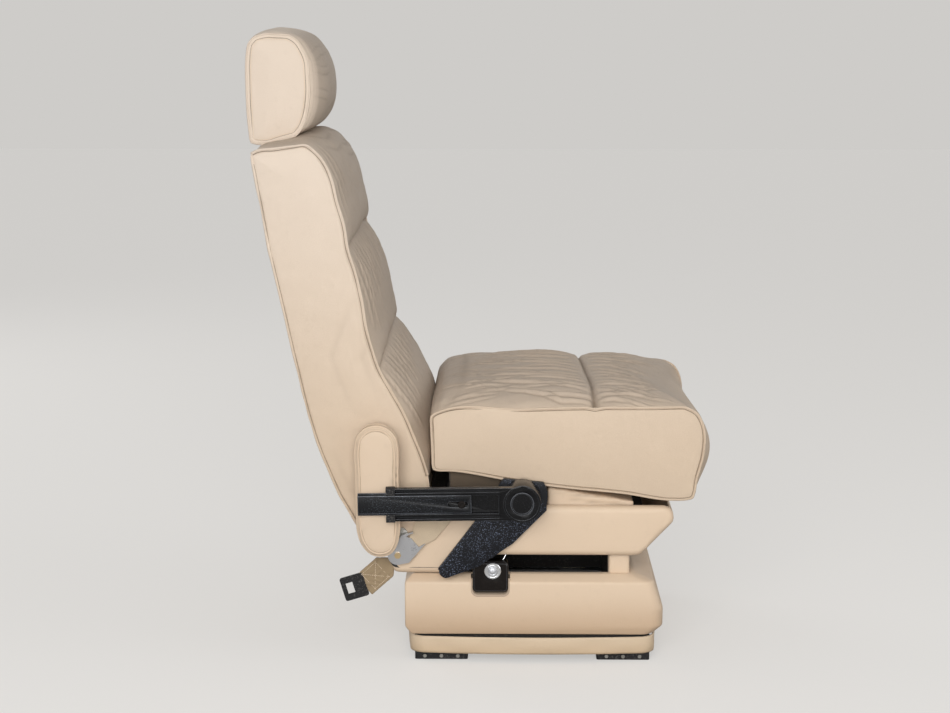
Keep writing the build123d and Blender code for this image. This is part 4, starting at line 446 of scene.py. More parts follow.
class Skin:
    """The points and faces of one piece, in millimetres, with wear, crease and hold values."""

    def __init__(self):
        self.points, self.faces, self.marks, self.count = [], [], [], 0

    def grid(self, rows, around=False, worn=0.0, crease=0.0, hold=0.0):
        """Adds the faces between rows of points. around joins the two ends of each row."""
        rows = np.asarray(rows, float)
        many, wide = rows.shape[:2]
        index = np.arange(many * wide).reshape(many, wide) + self.count
        if around:
            index = np.concatenate([index, index[:, :1]], 1)
        corners = (index[:-1, :-1], index[:-1, 1:], index[1:, 1:], index[1:, :-1])
        marks = [np.broadcast_to(value, (many, wide)) for value in (worn, crease, hold)]
        self.faces += np.stack(corners, -1).reshape(-1, 4).tolist()
        self.points.append(rows.reshape(-1, 3))
        self.marks.append(np.stack(marks, -1).reshape(-1, 3))
        self.count += many * wide
        return self

    def tube(self, path, radius, sides=8, closed=False, crease=0.0):
        """A round cord of leather along a path."""
        path = np.asarray(path, float)
        ahead, behind = np.roll(path, -1, 0), np.roll(path, 1, 0)
        if not closed:
            ahead[-1], behind[0] = path[-1], path[0]
        way = ahead - behind
        way /= np.maximum(np.linalg.norm(way, axis=1, keepdims=True), 1e-9)
        side = np.cross(way, (0, 1, 0))
        side /= np.maximum(np.linalg.norm(side, axis=1, keepdims=True), 1e-9)
        top = np.cross(side, way)
        turn = np.linspace(0, 2 * math.pi, sides, endpoint=False)
        rows = np.stack([path + radius * (math.cos(a) * side + math.sin(a) * top) for a in turn], 1)
        if closed:
            rows = np.concatenate([rows, rows[:1]])
        else:
            start, stop = (np.repeat(point[None, None], sides, 1) for point in (path[0], path[-1]))
            rows = np.concatenate([start, rows, stop])
        return self.grid(rows, around=True, crease=crease)

    def make(self, name):
        """The piece as an object, with its doubles merged and its faces turned outwards."""
        mesh = bpy.data.meshes.new(name)
        mesh.from_pydata((np.concatenate(self.points) * MM).tolist(), [], self.faces)
        marks = np.concatenate(self.marks)
        for i, key in enumerate(("worn", "crease", "hold")):
            values = np.ascontiguousarray(marks[:, i], np.float32)
            mesh.attributes.new(key, "FLOAT", "POINT").data.foreach_set("value", values)
        work = bmesh.new()
        work.from_mesh(mesh)
        bmesh.ops.remove_doubles(work, verts=work.verts, dist=0.00003)
        bmesh.ops.recalc_face_normals(work, faces=work.faces)
        work.to_mesh(mesh)
        work.free()
        mesh.polygons.foreach_set("use_smooth", [True] * len(mesh.polygons))
        return stand(name, mesh)


def cornered(side, crown, radius=8.0, least=30.0):
    """Adds points beside each sharp corner of a side outline, so that a smooth line keeps the corner.
    The crown gets as many. A corner is sharp where it turns by more than least degrees."""
    outlines = ([], [])
    for i in range(len(side)):
        one, two = side[i] - side[i - 1], side[(i + 1) % len(side)] - side[i]
        turn = abs(math.degrees(math.atan2(one[0] * two[1] - one[1] * two[0], one @ two)))
        for line, made in zip((side, crown), outlines):
            if turn < least:
                made.append(line[i])
                continue
            back, ahead = line[i - 1] - line[i], line[(i + 1) % len(line)] - line[i]
            back_way, ahead_way = back / np.linalg.norm(back), ahead / np.linalg.norm(ahead)
            before, after = np.linalg.norm(one), np.linalg.norm(two)
            back_by, ahead_by = min(radius, 0.3 * before), min(radius, 0.3 * after)
            if before > 6 * radius:
                made.append(line[i] + back_way * 2.6 * back_by)
            behind, beyond = back_way * back_by, ahead_way * ahead_by
            made += [line[i] + behind, line[i] + (behind + beyond) * 0.2, line[i] + beyond]
            if after > 6 * radius:
                made.append(line[i] + ahead_way * 2.6 * ahead_by)
    return np.array(outlines[0]), np.array(outlines[1])


def cap(skin, ring, spine, hem, bulge, step, middle, end, **marks):
    """A side panel: rings that run in from an outline, as hem lists them, and close on the spine.
    bulge is how far out the panel stands at its spine."""
    core = follow(ring, spine)[0]
    reach = np.linalg.norm(core - ring, axis=1, keepdims=True)
    rings = [at_side(inside(ring, spine, inward), middle + end * out) for inward, out in hem]
    first = np.minimum(1, hem[-1][0] / reach)
    many = max(2, int(np.max(reach) / step))
    for i in range(1, many + 1):
        rise = hem[-1][1] + (bulge - hem[-1][1]) * (1 - (1 - i / many) ** 2)
        target = core if i < many else knots(core, spine, 2.2 * step)
        flat = ring + (target - ring) * (first + (1 - first) * i / many)
        rings.append(at_side(flat, middle + end * rise))
    held = np.array([[1.0 if i < len(hem) else 0.0] for i in range(len(rings))])
    skin.grid(rings, around=True, hold=held, **marks)


def knots(points, spine, step):
    """The points of a spine moved to places an even step apart, so that both sides of a panel meet there."""
    start = np.concatenate([[0], np.cumsum(np.linalg.norm(spine[1:] - spine[:-1], axis=1))])
    along = follow(points, spine)[2]
    many = max(1, round(start[-1] / step))
    along = np.round(along / start[-1] * many) / many * start[-1]
    return np.column_stack([np.interp(along, start, spine[:, 0]), np.interp(along, start, spine[:, 1])])


def cover(skin, side, crown, half, spine, hem, bulge, step, worn_at, nose, top, corner=8.0):
    """A closed cover: rings from edge to edge across the seat, and a side panel at each edge.
    hem lists how far in and how far out the side panel runs beside its edge. nose and top set how square the
    crown is, forward and upward. The side outline that was followed comes back."""
    side, crown = cornered(side, crown, corner)
    counts = steps(side, step)
    side, crown = smooth(side, counts), smooth(crown, counts)
    rows, wear_and_shade = [], []
    for t in stations(half, step):
        share = np.array([max(0.0, 1 - abs(t) ** square) ** steep for square, steep in (nose, top)])
        flat = side + (crown - side) * share
        rows.append(at_side(flat, t * half))
        wear_and_shade.append(worn_at(flat, t))
    hold = np.zeros((len(rows), 1))
    hold[0] = hold[-1] = 1
    skin.grid(rows, around=True, worn=np.array(wear_and_shade), hold=hold)
    for end in (-1, 1):
        cap(skin, side, spine, hem, bulge, step, end * half, end)
    return side


def seam_beside(skin, line, spine, inward, y, closed=True, dark=0.85):
    """The sewn line that runs just inside a welt, on the side panel."""
    return skin.tube(at_side(inside(line, spine, inward), y), SEAM_LINE, 6, closed, crease=dark)


def fill(piece, limit, pressure):
    """Lets Blender's cloth swell a cover between its seams, and keeps each point near its start."""
    mesh = piece.data
    before = np.zeros(len(mesh.vertices) * 3, np.float32)
    mesh.vertices.foreach_get("co", before)
    held = np.zeros(len(mesh.vertices), np.float32)
    mesh.attributes["hold"].data.foreach_get("value", held)
    group = piece.vertex_groups.new(name="seams")
    group.add([int(i) for i in np.nonzero(held > 0.5)[0]], 1.0, "REPLACE")
    cloth = piece.modifiers.new("Filling", "CLOTH")
    cloth.settings.quality = 4
    cloth.settings.mass = 0.3
    cloth.settings.tension_stiffness = cloth.settings.compression_stiffness = 18
    cloth.settings.bending_stiffness = 1.2
    cloth.settings.use_pressure = True
    cloth.settings.uniform_pressure_force = pressure
    cloth.settings.effector_weights.gravity = 0
    cloth.settings.vertex_group_mass = "seams"
    cloth.collision_settings.use_collision = False
    cloth.point_cache.frame_start, cloth.point_cache.frame_end = 1, FILL_FRAMES
    scene = bpy.context.scene
    for at in range(1, FILL_FRAMES + 1):
        scene.frame_set(at)
    after = np.zeros(len(before), np.float32)
    swollen = piece.evaluated_get(bpy.context.evaluated_depsgraph_get())
    swollen.data.vertices.foreach_get("co", after)
    piece.modifiers.remove(cloth)
    scene.frame_set(1)
    move = (after - before).reshape(-1, 3)
    far = np.maximum(np.linalg.norm(move, axis=1, keepdims=True), 1e-9)
    move *= np.tanh(far / limit) * limit / far
    mesh.vertices.foreach_set("co", (before.reshape(-1, 3) + move).astype(np.float32).ravel())
    mesh.update()
    piece.vertex_groups.clear()
    return piece


def divide(piece):
    """Subdivides a cover once and keeps the result as its mesh."""
    finer = piece.modifiers.new("Finer", "SUBSURF")
    finer.levels = finer.render_levels = 1
    return settle(piece)


def settle(piece):
    """Turns a piece with its modifiers into a plain mesh."""
    bpy.context.view_layer.update()
    shown = piece.evaluated_get(bpy.context.evaluated_depsgraph_get())
    mesh = bpy.data.meshes.new_from_object(shown)
    piece.modifiers.clear()
    old, piece.data = piece.data, mesh
    bpy.data.meshes.remove(old)
    mesh.name = piece.name
    return piece


def shape(piece, form):
    """Moves the points of a cover in and out. form gives each point's rise in millimetres, and its crease."""
    mesh = piece.data
    place = np.zeros(len(mesh.vertices) * 3, np.float32)
    mesh.vertices.foreach_get("co", place)
    place = place.reshape(-1, 3) / MM
    facing = np.zeros(len(mesh.vertices) * 3, np.float32)
    mesh.vertex_normals.foreach_get("vector", facing)
    facing = facing.reshape(-1, 3)
    rise, crease = form(place, facing)
    mesh.vertices.foreach_set("co", ((place + facing * rise[:, None]) * MM).astype(np.float32).ravel())
    marks = mesh.attributes["crease"].data
    old = np.zeros(len(marks), np.float32)
    marks.foreach_get("value", old)
    marks.foreach_set("value", np.clip(np.maximum(old, crease), 0, 1).astype(np.float32))
    mesh.update()
    return piece


def ripple(place, seed, size, many=9):
    """A soft uneven swell, about as wide as size, from -1 to 1."""
    random = np.random.default_rng(seed)
    total = np.zeros(len(place))
    for _ in range(many):
        way = random.normal(size=3)
        way *= 2 * math.pi / (size * random.uniform(0.7, 1.6) * np.linalg.norm(way))
        total += np.sin(place @ way + random.uniform(0, 2 * math.pi))
    return total / many**0.5 / 1.4


def folds(spots, lines):
    """Ridges with a furrow beside each. A line is (points, width, height)."""
    high, low, crease = (np.zeros(len(spots)) for _ in range(3))
    for line, width, height in lines:
        _, far, along, total = follow(spots, line)
        fade = np.sin(np.clip(along / total, 0.02, 0.98) * math.pi) ** 0.5
        high = np.maximum(high, height * fade * np.exp(-(far / width) ** 2))
        low = np.minimum(low, -0.7 * height * fade * np.exp(-((far - 1.6 * width) / (0.6 * width)) ** 2))
        # The furrow is marked to be painted darker: painted shade, with some grime.
        crease = np.maximum(crease, 0.36 * fade * np.exp(-((far - 1.6 * width) / (0.35 * width)) ** 2))
    return high + low, crease


def dress(piece, body, slot, material, *nodes):
    """Gives a piece its finish, its body and the node that it stands for."""
    piece.data.materials.clear()
    piece.data.materials.append(finish(material))
    piece.data.polygons.foreach_set("material_index", [0] * len(piece.data.polygons))
    held = piece.data.attributes.get("hold")
    if held:
        piece.data.attributes.remove(held)
    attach(piece, body)
    if nodes:
        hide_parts(*nodes)
    return piece


def from_node(name, node, width=0.0, step=0.0, softness=0, cut=None):
    """A softened copy of a node: rounded along its outward edges by width, or meshed evenly and smoothed.
    cut is the place and direction of a plane that trims it."""
    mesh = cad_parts[node].data.copy()
    work = bmesh.new()
    work.from_mesh(mesh)
    bmesh.ops.remove_doubles(work, verts=work.verts, dist=0.00001)
    if cut:
        whole = work.verts[:] + work.edges[:] + work.faces[:]
        halves = bmesh.ops.bisect_plane(work, geom=whole, dist=0.000001, plane_co=Vector(cut[0]) * MM,
                                        plane_no=cut[1], clear_outer=True)
        rim = [part for part in halves["geom_cut"] if isinstance(part, bmesh.types.BMEdge)]
        bmesh.ops.holes_fill(work, edges=rim)
    if width:
        bmesh.ops.dissolve_limit(work, angle_limit=math.radians(1), verts=work.verts, edges=work.edges)
    bmesh.ops.recalc_face_normals(work, faces=work.faces)
    outward = work.edges.layers.float.new("bevel_weight_edge")
    for edge in work.edges:
        edge[outward] = float(edge.is_convex and edge.calc_face_angle(0) > math.radians(35))
    work.to_mesh(mesh)
    work.free()
    mesh.name = name
    mesh.materials.clear()
    for _ in range(2):  # the second slot marks the rounded edges for rub_and_highlight_edges
        mesh.materials.append(finish("thread"))
    mesh.polygons.foreach_set("material_index", [0] * len(mesh.polygons))
    piece = stand(name, mesh)
    if width:
        edge = piece.modifiers.new("Edge", "BEVEL")
        edge.width, edge.segments, edge.limit_method = width, 3, "WEIGHT"
        edge.material = 1
    if step:
        even = piece.modifiers.new("Even", "REMESH")
        even.mode, even.voxel_size, even.use_smooth_shade = "VOXEL", step, True
    if softness:
        soft = piece.modifiers.new("Soft", "SMOOTH")
        soft.factor, soft.iterations = 0.5, softness
    settle(piece)
    for key in ("worn", "crease", "hold"):
        if key not in piece.data.attributes:
            piece.data.attributes.new(key, "FLOAT", "POINT")
    piece.data.polygons.foreach_set("use_smooth", [True] * len(piece.data.polygons))
    return piece


# Rows of stitches, with geometry nodes

def stitch_tree():
    """Thread stitches, set at an even pitch along a line."""
    tree = bpy.data.node_groups.get("Stitch Row")
    if tree:
        return tree
    tree = bpy.data.node_groups.new("Stitch Row", "GeometryNodeTree")
    face = tree.interface
    face.new_socket("Line", in_out="INPUT", socket_type="NodeSocketGeometry")
    for name, value in (("Pitch", 0.004), ("Length", 0.0026), ("Radius", 0.0005)):
        socket = face.new_socket(name, in_out="INPUT", socket_type="NodeSocketFloat")
        socket.default_value, socket.subtype = value, "DISTANCE"
    face.new_socket("Thread", in_out="INPUT", socket_type="NodeSocketMaterial")
    face.new_socket("Stitches", in_out="OUTPUT", socket_type="NodeSocketGeometry")
    entry, leave = tree.nodes.new("NodeGroupInput"), tree.nodes.new("NodeGroupOutput")
    spread = tree.nodes.new("GeometryNodeCurveToPoints")
    spread.mode = "LENGTH"
    stitch = tree.nodes.new("GeometryNodeMeshCylinder")
    stitch.inputs["Vertices"].default_value = 6
    turn = tree.nodes.new("FunctionNodeAlignRotationToVector")
    turn.axis = "Z"
    put = tree.nodes.new("GeometryNodeInstanceOnPoints")
    real = tree.nodes.new("GeometryNodeRealizeInstances")
    paint = tree.nodes.new("GeometryNodeSetMaterial")
    for start, out, end, into in (
        (entry, "Line", spread, "Curve"), (entry, "Pitch", spread, "Length"),
        (entry, "Radius", stitch, "Radius"), (entry, "Length", stitch, "Depth"),
        (spread, "Tangent", turn, "Vector"), (spread, "Points", put, "Points"),
        (stitch, "Mesh", put, "Instance"), (turn, "Rotation", put, "Rotation"),
        (put, "Instances", real, "Geometry"), (real, "Geometry", paint, "Geometry"),
        (entry, "Thread", paint, "Material"), (paint, "Geometry", leave, "Stitches"),
    ):
        tree.links.new(start.outputs[out], end.inputs[into])
    return tree


def stitches(name, lines, body, slot, pitch=1.0):
    """Rows of stitches along lines of points in millimetres, as one mesh."""
    curve = bpy.data.curves.new(name, "CURVE")
    curve.dimensions = "3D"
    for line in lines:
        run = curve.splines.new("POLY")
        run.points.add(len(line) - 1)
        run.points.foreach_set("co", np.column_stack([np.asarray(line) * MM, np.ones(len(line))]).ravel())
    source = stand(name, curve)
    tree = stitch_tree()
    row = source.modifiers.new("Stitches", "NODES")
    row.node_group = tree
    keys = {item.name: item.identifier for item in tree.interface.items_tree if item.in_out == "INPUT"}
    row[keys["Pitch"]] = sizes().stitch_pitch * pitch
    row[keys["Length"]] = sizes().stitch * pitch
    row[keys["Radius"]] = sizes().thread
    row[keys["Thread"]] = finish("thread")
    bpy.context.view_layer.update()
    mesh = bpy.data.meshes.new_from_object(source.evaluated_get(bpy.context.evaluated_depsgraph_get()))
    source.modifiers.clear()
    bpy.data.objects.remove(source)
    piece = stand(name, mesh)
    mesh.name = name
    return dress(piece, body, slot, "thread")


# Outlines, as shares of each node's length and height

CUSHION_SIDE = [(0.0, 0.765), (0.007, 0.268), (0.061, 0.264), (0.269, 0.177), (0.438, 0.117),
                (0.656, 0.060), (0.823, 0.0), (0.89, 0.010), (0.899, 0.157), (0.924, 0.446),
                (0.926, 0.592), (0.915, 0.719), (0.895, 0.800), (0.861, 0.851), (0.705, 0.846),
                (0.568, 0.846), (0.301, 0.826), (0.034, 0.805)]
CUSHION_CROWN = [(0.0, 0.851), (0.007, 0.268), (0.061, 0.264), (0.269, 0.177), (0.438, 0.117),
                 (0.656, 0.060), (0.823, 0.0), (0.907, 0.010), (0.962, 0.136), (0.988, 0.357),
                 (0.954, 0.532), (0.878, 0.700), (0.808, 0.842), (0.712, 0.926), (0.622, 0.974),
                 (0.515, 0.991), (0.148, 0.991), (0.028, 0.945)]
CUSHION_SPINE = [(0.16, 0.55), (0.74, 0.44)]
HEAD_SIDE = [(0.058, 0.005), (0.030, 0.214), (0.017, 0.506), (0.023, 0.751), (0.044, 0.870), (0.114, 0.935),
             (0.250, 0.959), (0.394, 0.959), (0.545, 0.953), (0.636, 0.909), (0.705, 0.840), (0.761, 0.751),
             (0.784, 0.583), (0.788, 0.458), (0.769, 0.328), (0.727, 0.203), (0.670, 0.120), (0.610, 0.069),
             (0.382, 0.025), (0.258, 0.0)]
HEAD_CROWN = [(0.058, 0.045), (0.015, 0.214), (0.0, 0.506), (0.004, 0.767), (0.030, 0.897), (0.114, 0.971),
              (0.258, 1.0), (0.424, 1.0), (0.591, 0.979), (0.735, 0.935), (0.848, 0.844), (0.939, 0.728),
              (0.992, 0.554), (1.0, 0.448), (0.981, 0.328), (0.932, 0.227), (0.856, 0.149), (0.735, 0.101),
              (0.485, 0.077), (0.258, 0.053)]
HEAD_SPINE = [(0.39, 0.30), (0.39, 0.70)]
BACK_REAR = [(0.000, 0.978), (0.045, 0.862), (0.106, 0.721), (0.155, 0.626), (0.235, 0.467), (0.313, 0.325),
             (0.355, 0.267), (0.429, 0.186), (0.477, 0.138), (0.535, 0.094), (0.581, 0.059)]
BACK_FOOT = [(0.642, 0.028), (0.755, 0.003), (0.865, 0.0), (0.955, 0.033), (1.0, 0.113)]
BACK_FRONT = [(1.0, 0.181), (0.961, 0.236), (0.919, 0.283), (0.855, 0.348), (0.781, 0.405), (0.713, 0.459),
              (0.687, 0.493), (0.652, 0.547), (0.623, 0.626), (0.590, 0.689), (0.548, 0.747), (0.526, 0.809),
              (0.487, 0.867), (0.461, 0.916), (0.416, 0.959), (0.371, 0.983), (0.313, 1.0)]
BACK_TOP = [(0.255, 0.998), (0.140, 0.992), (0.030, 0.985)]
BACK_SPINE = [(0.155, 0.93), (0.27, 0.80), (0.345, 0.69), (0.40, 0.60), (0.455, 0.50), (0.53, 0.40),
              (0.62, 0.30), (0.70, 0.20), (0.775, 0.11)]


# Side panels beside their edges, as (how far in, how far out)

HEAD_HEM = [(0, 0), (1.0, 0.8), (3.0, 1.6), (5.0, 1.7), (6.4, 0.5), (7.8, 1.6), (12, 2.6), (20, 3.6)]
BACK_HEM = [(0, 0), (1.0, 1.0), (3.0, 1.6), (4.2, -0.6), (5.4, 0.4), (9, 1.8), (20, 2.6)]
CUSHION_HEM = [(0, 0), (1.0, 1.0), (4, 2.0), (9, 2.6)]
PAD_HEM_OUTER = [(0, -10), (0.5, -6.5), (2.2, -3.6), (5, -1.2), (9, 0.4), (14, 1.2), (18, 1.5)]
PAD_HEM_INNER = [(0, -10), (0.5, -6.5), (2.2, -3.9), (5, -2.1), (9, -1.3), (14, -0.9), (18, -0.7)]

# Shapes that follow no node's outline, in millimetres: how far ahead, and how high

PAN_OUTLINE = [(-263, 197), (-249, 165), (-150, 165), (-108, 198), (192, 198), (253, 262), (251, 278),
               (245, 286), (235, 290), (222, 290), (195, 290), (-263, 290)]
PAN_SPINE = [(-205.0, 228.0), (-120.0, 240.0), (205.0, 258.0)]
# Levels of the lower shroud: height, rear, front, half width
BASE_LEVELS = [(50.5, -219, 219, 241), (66, -230, 236, 246), (100, -230, 236, 250), (150, -230, 219, 250),
               (163, -215, 184, 232)]
BASE_CORNER = 24
NOTCH_CORNER = 12.0
# The leather round the notch: how far out of its edge, and place across the seat
NOTCH_LIP = [(0, -249.4), (-1.2, -250.2), (-2.6, -249.6), (-4.2, -245), (-6.0, -236), (-6.2, -226),
             (-3.0, -226), (0, -236), (0, -249.4)]
PAD_MIDDLE = -255.5  # the armrest pad's, from the hub along the arm
PAD_TOP = (100, 37.5)  # height and radius of the pad's round top
PAD_OUTLINE = [(-293, 50), (-293, -20), (-292, -53), (-285, -76), (-268, -95), (-250, -99), (-234, -94),
               (-222, -76), (-218, -58), (-218, 0), (-218, 50)]
ARM_HUB = (-20, 311)
ARM_TILT = math.radians(0.8)  # how far the arm leans at rest
# Rings of the push button: radius and depth
BUTTON_RINGS = [(8.5, 12.0), (8.5, 2.0), (8.1, 0.7), (7.3, 0.2), (6.5, 0.3), (6.1, 1.1), (5.7, 1.1),
                (5.3, 0.3), (4.6, 0.0), (2.4, -0.1), (0.05, -0.1)]
BRACKET_CUT = ((-20, 0, 340.5), (0.094, 0, 1))  # place and direction of the plane that trims the bracket

# Seams, as shares of the back's height, with how far their arches rise in millimetres

UPPER_SEAM, UPPER_ARCH = 0.747, 26
LUMBAR_SEAM, LUMBAR_ARCH = 0.449, 58
LUMBAR_FOOT = 0.185
CUSHION_SEAM, CUSHION_SLANT = 101, 0.036  # where the cross seam is ahead, and how much it slants

PANEL_DEPTH = 26.0  # how far the back's panels reach in behind its front edge

# Folds, as (points, width, height)

HEAD_FOLDS = [([(-142, 1082), (-90, 1092), (10, 1094)], 4.5, 0.7),
              ([(-141, 1062), (-100, 1056), (-50, 1060)], 4.5, 0.8), ([(-141, 1020), (-90, 1012)], 5, 0.6),
              ([(142, 1078), (70, 1090)], 4.5, 0.7), ([(140, 1024), (80, 1016)], 5, 0.6)]
UPPER_FOLDS = [([(-180, 936), (-120, 926), (-30, 932)], 6, 1.2),
               ([(-60, 914), (40, 908), (130, 920)], 6, 1.0), ([(20, 936), (110, 930), (182, 936)], 6, 1.1)]
for end in (-1, 1):
    UPPER_FOLDS += [([(end * 226, 928), (end * 224, 880), (end * 217, 800)], 4.5, 1.5),
                    ([(end * 214, 932), (end * 208, 890), (end * 196, 815)], 4.5, 1.6),
                    ([(end * 199, 934), (end * 189, 900), (end * 176, 845)], 4.5, 1.4)]
SIDE_FOLDS = [([(-300, 640), (-330, 560), (-300, 480)], 16, 0.8),
              ([(-240, 300), (-300, 330), (-330, 400)], 18, 0.9)]
WEDGE_FOLDS = [([(60, 306), (110, 300), (170, 296)], 4, 1.6), ([(40, 316), (90, 312), (150, 308)], 4, 1.2)]
CUSHION_CREASE = ([(-165, -200), (-160, 0), (-165, 205)], 22, 2.4)
# Folds beside the cross seam: place across the seat, length, share of the fold height
CUSHION_FANS = [(-226, 90, 0.8), (-208, 150, 1.0), (-186, 110, 0.7), (-164, 180, 1.0), (-140, 120, 0.8),
                (-112, 190, 0.9), (-84, 130, 0.7), (-50, 170, 0.9), (-16, 120, 0.7), (22, 180, 0.9),
                (60, 120, 0.7), (98, 170, 0.9), (134, 130, 0.8), (168, 180, 0.9), (198, 120, 0.8),
                (220, 100, 0.7)]


# Pieces

def make_headrest():
    size = sizes()
    side, crown = placed("headrest_cushion", HEAD_SIDE), placed("headrest_cushion", HEAD_CROWN)
    spine = placed("headrest_cushion", HEAD_SPINE)
    half = half_width("headrest_cushion") - 1
    centre = side.mean(0)

    # The front is painted darker: partly wear, partly painted shade of faces turned from the key lamp.
    def wear_and_shade(flat, t):
        return np.clip((flat[:, 0] - centre[0]) / 40, 0.15, 1) * (1 if abs(t) < 0.9 else 0.55)
    skin = Skin()
    side_line = cover(skin, side, crown, half, spine, HEAD_HEM, 6.0, 5.5, wear_and_shade, (3.2, 0.5), (5.0, 0.5), 7.0)
    piece = divide(fill(skin.make("headrest_cover"), 0.003, size.pressure))

    def form(place, facing):
        front = np.clip(facing[:, 0], 0, 1)
        rise = 0.5 * ripple(place, 3, 70) + 0.22 * ripple(place, 4, 30) * front
        more, crease = folds(place[:, [1, 2]], HEAD_FOLDS)
        # A groove along each edge, with its shade painted darker.
        edge = np.exp(-((np.abs(place[:, 1]) - half) / 3.5) ** 2)
        groove = edge * (np.abs(facing[:, 1]) < 0.8)
        return rise + more * front - 1.2 * groove, crease * front + 0.35 * groove
    shape(piece, form)
    dress(piece, "headrest", "seat_leather", "cover_leather", "headrest_cushion")
    welts, lines = Skin(), []
    ring = inside(side_line, spine, 8.6)
    for end in (-1, 1):
        welts.tube(at_side(side_line, end * (half + 0.1)), size.welt / MM * 0.85, closed=True, crease=0.10)
        seam_beside(welts, side_line, spine, 6.4, end * (half + 0.5))
        lines.append(at_side(np.concatenate([ring, ring[:1]]), end * (half + 2.0)))
    dress(welts.make("headrest_welts"), "headrest", "seat_leather", "cover_leather")
    stitches("headrest_stitches", lines, "headrest", "seat_leather")


def back_line():
    """The front edge of the back from its foot, over the top to the rear, and the length along it."""
    points = placed("back_shell", BACK_FRONT + BACK_TOP + BACK_REAR[:1])
    line = smooth(points, steps(points, 3, False), False)
    run = np.concatenate([[0], np.cumsum(np.linalg.norm(line[1:] - line[:-1], axis=1))])
    return line, run


def along_line(line, run, at):
    """Point and outward direction of a line at a length along it."""
    def spot_at(place):
        return np.column_stack([np.interp(place, run, line[:, 0]), np.interp(place, run, line[:, 1])])
    way = spot_at(at + 8) - spot_at(at - 8)
    way /= np.maximum(np.linalg.norm(way, axis=1, keepdims=True), 1e-6)
    return spot_at(at), np.column_stack([way[:, 1], -way[:, 0]])


def height_run(share):
    """Length along the back's front edge at a share of its height."""
    line, run = back_line()
    low, high = box_of("back_shell")
    end = int(np.argmax(line[:, 1]))
    return float(np.interp(low[2] + share * (high[2] - low[2]), line[:end, 1], run[:end]))


def back_pad(name, node, start, stop, crown, arch_start, arch_stop, lines, ends, steep=4.0, ebb=None,
             lean=0.0):
    """A padded panel of the back's front, between two arched seams that start and stop along the front edge.
    ends is how full it stays at each seam, steep how flat it is between them, and lean how much fuller it is
    below than above. ebb gives the lengths between which the crown changes, and the height it changes to."""
    line, run = back_line()
    size = sizes()
    half = half_width("back_shell") - 2.5
    places = stations(half, size.mesh_step / MM)
    many = int((stop - start) / (size.mesh_step / MM))
    inner = np.linspace(0.05, 0.95, many)
    share = np.concatenate([[0, 0.006, 0.018, 0.035], inner, [0.965, 0.982, 0.994, 1]])
    front, rear = [], []
    limit = box_of("seat_cushion")[0][0] - 3
    for t in places:
        arch = max(0.0, 1 - t * t) ** 0.9
        low, high = start + arch_start * arch, stop + arch_stop * arch
        spot, out = along_line(line, run, low + share * (high - low))
        across = max(0.0, 1 - t * t) ** 0.72
        swell = (1 - np.abs(2 * share - 1) ** steep) ** 0.62
        full = np.where(share < 0.5, ends[0], ends[1])
        long = (high - low) * np.minimum(share, 1 - share)
        height = crown * np.ones(len(share))
        if ebb:
            fade = np.clip((low + share * (high - low) - ebb[0]) / (ebb[1] - ebb[0]), 0, 1)
            height = crown + (ebb[2] - crown) * fade * fade * (3 - 2 * fade)
        height = height * (1 + lean * (0.5 - share))
        rise = (height + 2.0) * (full + (1 - full) * swell) * across - 2.0 - 3.2 * np.exp(-(long / 5.5) ** 2)
        flat = spot + out * rise[:, None]
        below = flat[:, 1] < box_of("seat_cushion")[1][2] + 2
        flat[below, 0] = np.minimum(flat[below, 0], limit)
        front.append(at_side(flat, t * half))
        rear.append(at_side(spot - out * PANEL_DEPTH, t * (half - 3)))
    front, rear = np.array(front), np.array(rear)
    skin = Skin()
    hold = np.zeros(front.shape[:2])
    hold[:, :3] = hold[:, -3:] = hold[:2] = hold[-2:] = 1
    # The front panels are painted darker: partly wear, partly painted shade of faces turned from the key
    # lamp.
    wear_and_shade = np.clip(1.15 - np.abs(places)[:, None] ** 6 * 0.6, 0, 1)
    skin.grid(front, worn=np.broadcast_to(wear_and_shade, front.shape[:2]), hold=hold)
    skin.grid(rear, hold=1)
    for edge in (np.s_[0], np.s_[-1], np.s_[:, 0], np.s_[:, -1]):
        a, b = front[edge], rear[edge]
        skin.grid([a, a + (b - a) * 0.3, b], hold=1)
    piece = divide(fill(skin.make(name), size.swell, size.pressure))

    def form(place, facing):
        ahead = np.clip(facing[:, 0] * 1.4 + np.clip(facing[:, 2], 0, 1) * 0.8, 0, 1)
        rise = (0.9 * ripple(place, 11, 90) + 0.5 * ripple(place, 12, 34)) * ahead
        more, crease = folds(place[:, [1, 2]], lines)
        return rise + more * ahead, crease * ahead
    shape(piece, form)
    dress(piece, "backrest", "seat_leather", "cover_leather", node)


def fan(share, arch, reach, spread, width, height, seed):
    """Folds that fan down from an arched seam, longest near the sides of the back."""
    low, high = box_of("back_shell")
    seam, half = low[2] + share * (high[2] - low[2]), half_width("back_shell")
    random = np.random.default_rng(seed)
    made = []
    for y in np.linspace(-half + 12, half - 12, 26):
        y += random.uniform(-5, 5)
        side = abs(y) / half
        top = seam + arch * (1 - side**2) ** 0.9 - 5
        long = reach * random.uniform(0.4, 1.0) * (0.35 + 0.65 * side)
        end = y - spread * y / half + random.uniform(-5, 5)
        bend = ((y + end) / 2 + random.uniform(-3, 3), top - long * 0.5)
        high = height * random.uniform(0.55, 1.0) * (0.5 + 0.5 * side)
        made.append(([(y, top), bend, (end, top - long)], width, high))
    return made


